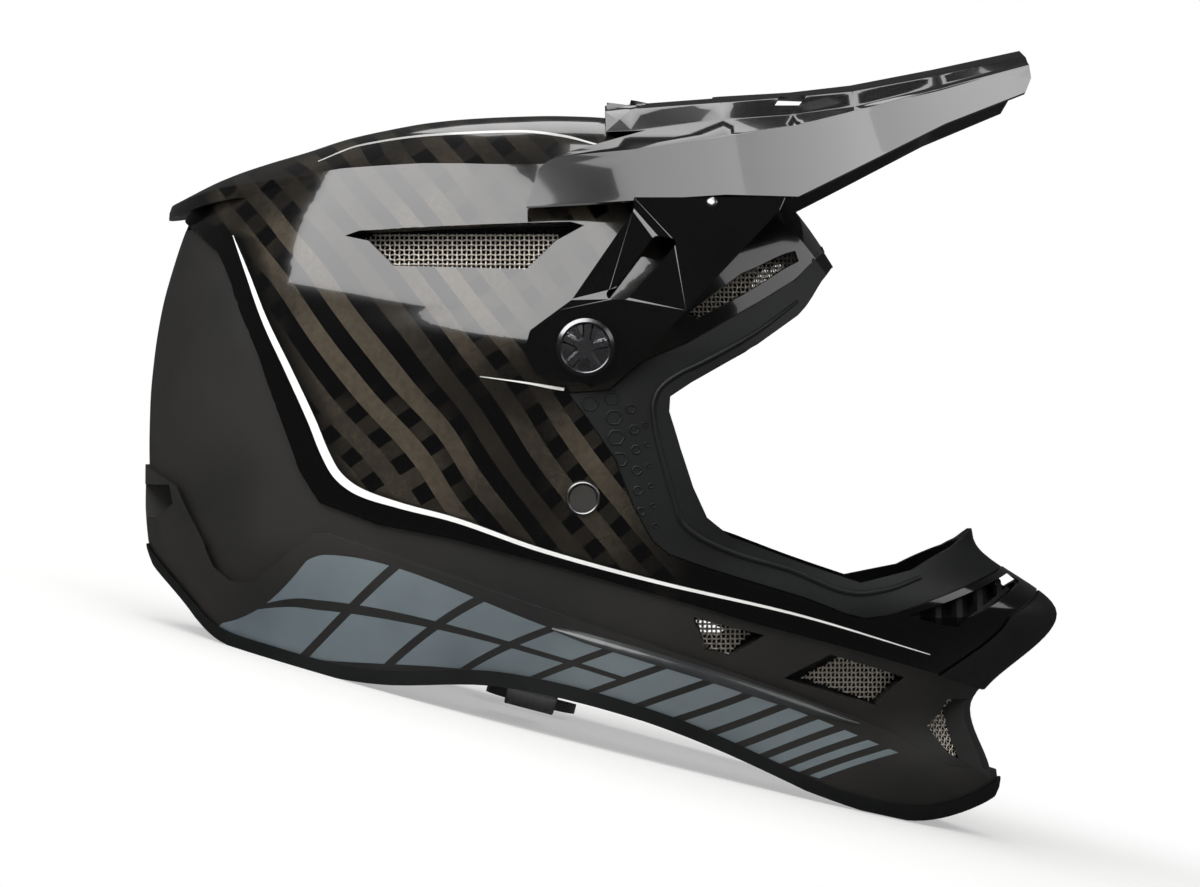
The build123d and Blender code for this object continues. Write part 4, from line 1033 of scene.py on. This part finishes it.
baked(visor)
mesh = visor.data
corner_normals = read(mesh.corner_normals, "vector", 3)
plates = sides = 0
side_places, side_ways = [row[0] for row in SIDE_LINE], [row[1:] for row in SIDE_LINE]
for face in mesh.polygons:
    facing, middle = face.normal @ to_standing, level @ face.center
    if (abs(facing.z) < PLATE_RISE and abs(facing.x) < PLATE_AHEAD
            and face.area > PLATE_AREA * MM * MM):
        upright = to_standing.to_3x3() @ Vector((0, math.copysign(1.0, facing.y), 0))
        for loop in face.loop_indices:
            corner_normals[loop] = upright
        plates += 1
    elif (SIDE_LEAN[0] < abs(facing.y) < SIDE_LEAN[1] and facing.z > SIDE_RISE
            and facing.y * middle.y > 0 and middle.x < SIDE_END):
        at = [(level @ mesh.vertices[mesh.loops[loop].vertex_index].co).x for loop in face.loop_indices]
        for loop, (ahead, lean) in zip(face.loop_indices, smooth_curve(at, side_places, side_ways)):
            way = Vector((ahead, math.copysign(lean, facing.y), math.sqrt(1 - ahead ** 2 - lean ** 2)))
            corner_normals[loop] = to_standing.to_3x3() @ way
        sides += 1
mesh.normals_split_custom_set(corner_normals.tolist())
give(visor, finish["visor"])
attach(visor, "visor")
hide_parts("visor")
print(visor.name, len(visor.data.polygons), "faces", plates, "on the arm plates", sides, "on the sides")

# %% [markdown]
# ## Knobs, rivet rings and visor studs
# Small round parts are turned, so each is a profile spun round an axis: a list of radius and
# height pairs. The strap rivet sits in a rolled steel ring, and a small stud closes each arm. The
# knob of a visor screw has a bright rim round a dished face, from which five spokes stand up.

# %% Turned parts
TURN_SIDES = 32
KNOB_SIDES = 200
KNOB_STEPS = 25
KNOB_FLOOR = -1.3
KNOB_INSIDE = 9.3
KNOB_LIFT = 0.9
KNOB_RIM = [(11.0, -1.6), (11.0, -0.1), (9.6, 0.8), (KNOB_INSIDE, 0.6), (KNOB_INSIDE, KNOB_FLOOR)]
KNOB_EDGE = math.radians(28)
SPOKES = 5
SPOKE_HALF = 1.5
SPOKE_TURN = math.radians(11)
SPOKE_HEIGHT = 1.1
SPOKE_EDGE = 0.5
HUB_RADIUS = 3.6
DISH = 0.05


def turned(spot, out, profile):
    """Places and faces of a profile of radius and height, spun round the way out."""
    side = out.orthogonal().normalized()
    other = out.cross(side)
    spots = []
    for radius, height in profile:
        spots += ring_round(spot + out * height, side, other, radius, TURN_SIDES)
    return spots, tube_faces(len(profile), TURN_SIDES, profile[0] != profile[-1])


def knob_height(radius, turn):
    """Height of the knob's face: spokes and a hub stand up from a dished floor."""
    nearest = round((turn - SPOKE_TURN) / math.tau * SPOKES) * math.tau / SPOKES + SPOKE_TURN
    off_axis = abs(radius * math.sin(turn - nearest))
    inside = (SPOKE_HALF * (0.8 + 0.04 * radius) - off_axis, HUB_RADIUS - radius)
    up = max(min(1.0, max(0.0, depth / SPOKE_EDGE + 0.5)) for depth in inside)
    return KNOB_FLOOR + SPOKE_HEIGHT * up + DISH * (KNOB_INSIDE - radius) * (1 - up)


def knob_face(spot, side):
    """Places and faces of a knob on the right (side -1) or the left (side 1)."""
    out = Vector((0, side, 0))
    turns = [math.tau * k / KNOB_SIDES for k in range(KNOB_SIDES)]
    rings = [(radius, [height] * KNOB_SIDES) for radius, height in KNOB_RIM]
    for step in range(1, KNOB_STEPS):
        radius = KNOB_INSIDE * (1 - step / KNOB_STEPS)
        rings.append((radius, [knob_height(radius, turn) for turn in turns]))
    spots = [spot + out * height + Vector((math.cos(t), 0, math.sin(t))) * radius
             for radius, heights in rings for height, t in zip(heights, turns)]
    faces = tube_faces(len(rings), KNOB_SIDES, capped=False)
    faces.append(list(range(len(spots) - KNOB_SIDES, len(spots))))
    return spots, [face[::side] for face in faces]


for side, word in ((-1, "right"), (1, "left")):
    low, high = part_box("visor_pivot_screw_" + word)
    outer = min(low.y, high.y, key=lambda y: -side * y)
    head = level @ Vector(((low.x + high.x) / 2, outer, (low.z + high.z) / 2))
    spot = head + Vector((0, side * KNOB_LIFT, 0))
    knob = new_piece("visor_knob_" + word, *knob_face(spot, side), finish["knob"],
                     "pivot_screw_" + word, "screw")
    knob.data.set_sharp_from_angle(angle=KNOB_EDGE)
    print(knob.name, "at", [round(v, 1) for v in head])

low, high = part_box("strap_rivet_right")
rivet = level @ Vector(((low.x + high.x) / 2, low.y, (low.z + high.z) / 2))
ring_profile = [(5.2, -0.6), (5.3, 0.2), (5.6, 0.6), (6.0, 0.7), (6.4, 0.5), (6.6, 0.0), (6.6, -1.4),
                (5.2, -0.6)]
new_piece("strap_rivet_rings", *turned(rivet, Vector((0, -1, 0)), ring_profile), finish["steel"], "shell",
          "rivet", mirrored=True)
stud_profile = [(2.2, -0.4), (2.2, 0.3), (1.9, 0.75), (1.2, 1.05), (0.3, 1.15)]
stud_spot, stud_out = on_shell(tree_of(visor), (712, 202), 0)
new_piece("visor_studs", *turned(stud_spot, stud_out, stud_profile), finish["steel"], "visor", "screw",
          mirrored=True)
print("rivet at", [round(v, 1) for v in rivet], "stud at", [round(v, 1) for v in stud_spot])

# %% [markdown]
# ## Padding
# Each pad is foam in a knitted cover, sewn round its edge, so its faces swell and its edges pull
# in. A cloth simulation gives that for free: the pad's solid gets an even skin of small quads, is
# shrunk a little, and is blown up by an inner pressure with gravity off. How far a point may move
# is capped, so that the pad stays in its own space. Sewn channels are pressed in afterwards.

# %% Cloth simulation of a pad
PAD_PRESSURE = 4.0
PAD_FRAMES = 20


def points_and_normals(mesh):
    """A mesh's points in the level frame, in mm, and its level normals."""
    return points_of(mesh), read(mesh.vertex_normals, "vector", 3) @ standing_turn


def put(mesh, places):
    """Moves a mesh's points to standing places in metres."""
    mesh.vertices.foreach_set("co", places.ravel())
    mesh.update()


def stuffed(node, voxel, start_in, cap):
    """A pad node's solid as a swollen cover."""
    piece = in_scene(node + "_cover", frame["nodes"][node].data.copy())
    skin = piece.modifiers.new("even_skin", "REMESH")
    skin.mode = "VOXEL"
    skin.voxel_size = voxel * MM
    baked(piece)
    start = read(piece.data.vertices, "co", 3) - read(piece.data.vertex_normals, "vector", 3) * start_in * MM
    put(piece.data, start)
    cloth = piece.modifiers.new("stuffing", "CLOTH")
    cloth.settings.use_pressure = True
    cloth.settings.uniform_pressure_force = PAD_PRESSURE
    cloth.settings.effector_weights.gravity = 0.0
    cloth.collision_settings.use_collision = False
    for number in range(1, PAD_FRAMES + 1):
        bpy.context.scene.frame_set(number)
    baked(piece)
    move = read(piece.data.vertices, "co", 3) - start
    length = np.linalg.norm(move, axis=1)[:, None]
    move *= np.minimum(1, cap * MM / np.maximum(length, 1e-9))
    put(piece.data, start + move)
    bpy.context.scene.frame_set(1)
    finer = piece.modifiers.new("finer", "SUBSURF")
    finer.levels = finer.render_levels = 1
    baked(piece)
    return piece


def pressed(piece, lines, facing, depth, width):
    """Presses sewn channels into the side of a piece that faces a level direction."""
    points, normals = points_and_normals(piece.data)
    share = np.clip((normals @ np.array(facing) - 0.2) / 0.4, 0, 1)
    groove = np.zeros(len(points))
    for direction, offset in lines:
        groove = np.maximum(groove, np.exp(-((points @ np.array(direction) - offset) / width) ** 2))
    set_points(piece.data, points - normals * (groove * share * depth)[:, None])


def finish_pad(piece, node):
    """What every pad's cover needs, once it has its shape."""
    piece.data.polygons.foreach_set("use_smooth", [True] * len(piece.data.polygons))
    give(piece, finish["lining"])
    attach(piece, "shell")
    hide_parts(node)
    print(piece.name, len(piece.data.polygons), "faces")


# %% [markdown]
# ## Cheek pads, chin pad and neck roll
# The cheek pads are thick and get two slanted channels, where the cover is sewn through the foam
# so that it bends with the cheek. The left one is the right one mirrored. The chin pad and the
# neck roll are long and thin, with short channels across them.

# %% Pads
PAD_CHANNELS = [((0.9, 0.0, 0.43), -38.0), ((0.9, 0.0, 0.43), 2.0)]
cheek = stuffed("cheek_pad_right", 4.0, 2.5, 3.0)
pressed(cheek, PAD_CHANNELS, (0, 1, 0), 2.2, 2.6)
other_cheek = in_scene("cheek_pad_left_cover", cheek.data.copy())
other_cheek.data.transform(Matrix.Scale(-1, 4, Vector((0, 1, 0))))
other_cheek.data.flip_normals()
finish_pad(cheek, "cheek_pad_right")
finish_pad(other_cheek, "cheek_pad_left")

for node, skin, apart, facing, depth, width in (
        ("chin_pad", (3.0, 1.2, 1.5), 24, (-1, 0, 0), 1.2, 1.8),
        ("neck_roll", (2.2, 0.8, 1.0), 30, (1, 0, 0), 0.9, 1.6)):
    cover = stuffed(node, *skin)
    pressed(cover, [((0, 1, 0), apart * i) for i in (-2, -1, 0, 1, 2)], facing, depth, width)
    finish_pad(cover, node)

# %% [markdown]
# ## Comfort liner
# The liner is one thin cushion that lines the whole crown, so it is too thin to blow up. It is
# copied finely, and each point of its inner side is pushed towards the head by a pillow height:
# nothing on a seam and most in the middle of a panel. Panels run from front to back over the
# crown and up and down round the sides.

# %% Comfort liner
LINER_PUFF = 2.2
CROWN_PANEL = 30.0
BAND_PANEL = 34.0
CROWN_FROM = 0.75
HEAD_MIDDLE = np.array([-62.0, 0.0, 20.0])
HEAD_RADIUS = 90.0
liner = fine_copy("comfort_liner", 4.5)
liner.name = "comfort_liner_cover"
points, normals = points_and_normals(liner.data)
outward_way = points - HEAD_MIDDLE
reach = np.linalg.norm(outward_way, axis=1)
inner = np.clip(-(normals * outward_way).sum(1) / reach * 3 - 1, 0, 1)
on_crown = outward_way[:, 2] / reach > CROWN_FROM
round_head = np.arctan2(outward_way[:, 1], outward_way[:, 0]) * HEAD_RADIUS
across = np.where(on_crown, points[:, 1] / CROWN_PANEL + 0.5, round_head / BAND_PANEL)
along_panel = np.where(on_crown, points[:, 0] / (CROWN_PANEL * 2), points[:, 2] / (BAND_PANEL * 1.6))
pillow = np.sqrt(np.abs(np.sin(np.pi * across)) * np.sqrt(np.abs(np.sin(np.pi * along_panel))))
set_points(liner.data, points + normals * (pillow * inner * LINER_PUFF)[:, None])
finish_pad(liner, "comfort_liner")

# %% [markdown]
# ## Chin strap
# The strap is polyester webbing, twenty millimetres wide, woven across its length with a thicker
# selvedge at each side. It hangs from the rivet and turns in under the jaw. The left strap folds
# back round the two rings and is sewn down with rows of stitches. Webbing is stiff across and
# limp along, so it is built straight from its path and its section.

# %% Webbing
WEB_HALF = 10.0
WEB_EDGE = [(-WEB_HALF, 0.0), (-9.8, 0.7), (-9.2, 1.0), (-8.5, 0.85), (-4.0, 0.9)]
WEB_SECTION = WEB_EDGE + [(0.0, 0.9)] + [(-across, up) for across, up in reversed(WEB_EDGE)]
WEB_WALL = 1.8
STRAP_BEND = 12.0
LOOP_BEND = 5.0
low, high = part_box("strap_rivet_right")
strap_anchor = ((low.x + high.x) / 2 / MM, (low.z + high.z) / 2 / MM)
strap_out = -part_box("chin_strap_long")[0].y / MM - WEB_WALL / 2


def rounded(corners, bend, spacing=1.5):
    """Evenly spaced places along straight runs joined by arcs."""
    corners = [Vector(corner) for corner in corners]
    path = [corners[0]]
    for before, corner, after in zip(corners, corners[1:], corners[2:]):
        back, on = (before - corner).normalized(), (after - corner).normalized()
        half = back.angle(on) / 2
        trim = min(bend / math.tan(half), (before - corner).length * 0.49, (after - corner).length * 0.49)
        for step in range(9):
            t = step / 8
            path.append(corner + back * trim * (1 - t) ** 2 + on * trim * t ** 2)
    path.append(corners[-1])
    values = np.array([list(spot) for spot in path])
    lengths = np.concatenate([[0], np.cumsum(np.linalg.norm(np.diff(values, axis=0), axis=1))])
    at = np.linspace(0, lengths[-1], int(lengths[-1] / spacing) + 1)
    return [Vector((np.interp(a, lengths, values[:, 0]), np.interp(a, lengths, values[:, 1]))) for a in at]


def on_strap(out, up, across, side):
    """A level place beside the strap's rivet on one side: -1 is right."""
    spot = Vector((strap_anchor[0] + across, side * out, strap_anchor[1] + up))
    return level @ (spot * MM)


def web(path, side):
    """Places and faces of webbing along a path of distances out and up."""
    section = WEB_SECTION + [(a, -t) for a, t in WEB_SECTION[-2:0:-1]]
    spots = []
    for i, spot in enumerate(path):
        ahead = (path[min(i + 1, len(path) - 1)] - path[max(i - 1, 0)]).normalized()
        lift = Vector((-ahead.y, ahead.x))
        spots += [on_strap(*(spot + lift * t), a, side) for a, t in section]
    return spots, tube_faces(len(path), len(section))


hang = [(strap_out, 9.0), (strap_out, -9.0), (strap_out - 10.3, -76.0)]
long_path = rounded(hang + [(25.0, -86.0)], STRAP_BEND)
LOOP_OUT = 57.0
LOOP_UP = -86.0
LOOP_HALF = 3.4
LOOP_REACH = 5.9
loop = [(LOOP_OUT + 24, -83.2), (LOOP_OUT + 9, -83.9), (LOOP_OUT + LOOP_REACH - 3, LOOP_UP + LOOP_HALF),
        (LOOP_OUT - LOOP_REACH, LOOP_UP + LOOP_HALF), (LOOP_OUT - LOOP_REACH, LOOP_UP - LOOP_HALF),
        (LOOP_OUT + LOOP_REACH, LOOP_UP - LOOP_HALF), (LOOP_OUT + 9, -86.9)]
short_path = rounded(hang + loop, LOOP_BEND, 1.0)
straps = (("chin_strap_long_web", long_path, -1, "chin_strap_long"),
          ("chin_strap_short_web", short_path, 1, "chin_strap_short"))
for name, path, side, node in straps:
    made = new_piece(name, *web(path, side), finish["webbing"], "shell", "webbing")
    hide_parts(node)
    print(made.name, len(made.data.polygons), "faces")

# %% [markdown]
# ## Stitches of the strap
# Polyester thread shows as short dashes that sink into the webbing at both ends. Each is a small
# closed tube, three millimetres from the next, in rows across the fold behind the rings.

# %% Stitches
STITCH = 2.1
STITCH_PITCH = 3.0
STITCH_RISE = 1.0
STITCH_EDGE = 2
STITCH_LINE = ((0, 0.5), (0.25, 0.0), (0.75, 0.0), (1, 0.5))
THREAD_RADIUS = 0.3
stitches = []
outer_half = short_path[:len(short_path) // 2]
for row_out in (LOOP_OUT + 11, LOOP_OUT + 14, LOOP_OUT + 17):
    nearest = min(outer_half, key=lambda spot: abs(spot.x - row_out) + (0 if spot.y < -60 else 99))
    across = STITCH_EDGE - WEB_HALF
    while across < WEB_HALF - STITCH_EDGE:
        run = [on_strap(nearest.x, nearest.y + STITCH_RISE - sink, across + STITCH * t, 1)
               for t, sink in STITCH_LINE]
        stitches.append(tube(run, [Vector((0, 0, 1))] * 4, THREAD_RADIUS))
        across += STITCH_PITCH
thread = moulded("polyester_thread", "#232326", "#303034", 0.6, 900.0, 0.2)
strap_stitches = new_piece("strap_stitches", *joined(stitches), thread, "shell", "webbing")
print(strap_stitches.name, len(stitches), "stitches")

# %% [markdown]
# ## Studio
# A black gloss shell shows nothing but its studio, so each lamp has a job, as each flag and
# softbox has in a real one. A big softbox high on the camera's side makes the long grey reflection
# on the crown. Three panels hang straight over the visor and light its folds, each dimmer than the
# one nearer the camera, and a strip on the far side edges the roof. These light only coats. Three
# fills light only matt surfaces, and a lamp in front does both. The floor and the background are
# white for the camera and nearly black for a coat, which mirrors the dark room round the paper.

# %% Floor, lights and background
FLOOR = 1.6
WHITE = [1, 1, 1, 1]
GLOSSY_SHARE = 0.04
WORLD_LEVEL = 0.4
WHITE_FROM = {1: 0.2, 2: 0.5, 3: 0.4, 4: 1.0}
floor_mesh = bpy.data.meshes.new("studio_floor")
floor_bm = bmesh.new()
bmesh.ops.create_circle(floor_bm, cap_ends=True, segments=96, radius=FLOOR)
floor_bm.to_mesh(floor_mesh)
floor_bm.free()
floor = in_scene("studio_floor", floor_mesh)
floor_material, tree, shader, place = new_material("pale_paper", Roughness=0.9)
shader.inputs["Base Color"].default_value = colour("#f4f4f2")
reach = add_node(tree, "VectorMath", {0: place}, out="Value", operation="LENGTH")
far = add_node(tree, "MapRange", {0: reach, **WHITE_FROM})


def background_share(tree):
    """How much white a ray sees: all of it for camera and transmission rays and a small share for
    glossy ones. The second value tells glossy rays from others."""
    ray = add_node(tree, "LightPath").node.outputs
    seen = add_node(tree, "Math", {0: ray["Is Glossy Ray"], 1: GLOSSY_SHARE}, operation="MULTIPLY")
    seen = add_node(tree, "Math", {0: ray["Is Camera Ray"], 1: seen}, operation="MAXIMUM")
    seen = add_node(tree, "Math", {0: seen, 1: ray["Is Transmission Ray"]}, operation="MAXIMUM")
    return seen, ray["Is Glossy Ray"]


seen, glossy = background_share(tree)
share = add_node(tree, "Math", {0: far, 1: seen}, operation="MULTIPLY")
white, dim = (add_node(tree, "Emission", {"Color": WHITE, "Strength": s}) for s in (1.0, GLOSSY_SHARE))
mixed = add_node(tree, "MixShader", {0: share, 1: shader.outputs[0], 2: white})
add_node(tree, "MixShader", {0: glossy, 1: mixed, 2: dim}, to=tree.nodes["Material Output"].inputs["Surface"])
give(floor, floor_material)

world = bpy.data.worlds.new("studio")
bpy.context.scene.world = world
world.use_nodes = True
tree = world.node_tree
seen, glossy = background_share(tree)
tint = add_node(tree, "Mix", {0: seen, 6: [WORLD_LEVEL] * 3 + [1], 7: WHITE}, out=2, data_type="RGBA")
add_node(tree, "Mix", {0: glossy, 6: tint, 7: [GLOSSY_SHARE] * 3 + [1]}, out=2, data_type="RGBA",
         to=tree.nodes["Background"].inputs["Color"])


def softbox(name, place, aim, size, radiance, lights="both"):
    """A rectangular area light; place and aim are level, in mm, and it may light only coats or
    only matt surfaces. One that hangs straight over its aim keeps its sides in line with the
    helmet's."""
    data = bpy.data.lights.new(name, "AREA")
    data.shape = "RECTANGLE"
    data.size, data.size_y = size
    data.energy = radiance * math.pi * size[0] * size[1]
    lamp = in_scene(name, data)
    spot, target = standing @ Vector(place), standing @ Vector(aim)
    turn = (spot - target).to_track_quat("Z", "Y").to_matrix().to_4x4()
    if place[:2] == aim[:2]:
        turn = to_standing
    lamp.matrix_world = Matrix.Translation(spot) @ turn
    lamp.visible_diffuse = lights != "coats"
    lamp.visible_glossy = lights != "matt"


PANEL_HEIGHT = 1000
panels = []
for name, x, y, radiance in (("near", (-60, 330), (-400, 0), 2.9), ("middle", (5, 330), (0, 450), 2.2),
                             ("far", (5, 330), (450, 855), 1.5)):
    middle = (sum(x) / 2, sum(y) / 2)
    size = ((x[1] - x[0]) * MM, (y[1] - y[0]) * MM)
    panels.append(("visor_softbox_" + name, (*middle, PANEL_HEIGHT), (*middle, 0), size, radiance, "coats"))
for lamp in (("side_softbox", (-359, -838, 938), (-29, -68, -62), (2.0, 1.107), 3.9, "coats"),
             *panels,
             ("left_strip", (-42, 1120, 748), (-42, 0, 120), (0.235, 0.315), 0.8, "coats"),
             ("fill_softbox", (-330, -770, 1000), (0, 0, 0), (2.0, 1.3), 2.3, "matt"),
             ("left_fill", (-250, 950, 750), (0, 0, 0), (1.6, 0.9), 1.5, "matt"),
             ("front_softbox", (1150, -250, 620), (0, 0, 0), (1.0, 0.5), 1.2),
             ("back_fill", (-1250, -350, 250), (0, 0, 0), (0.6, 0.8), 6.0, "matt")):
    softbox(*lamp)

bpy.context.scene.view_settings.view_transform = "Standard"
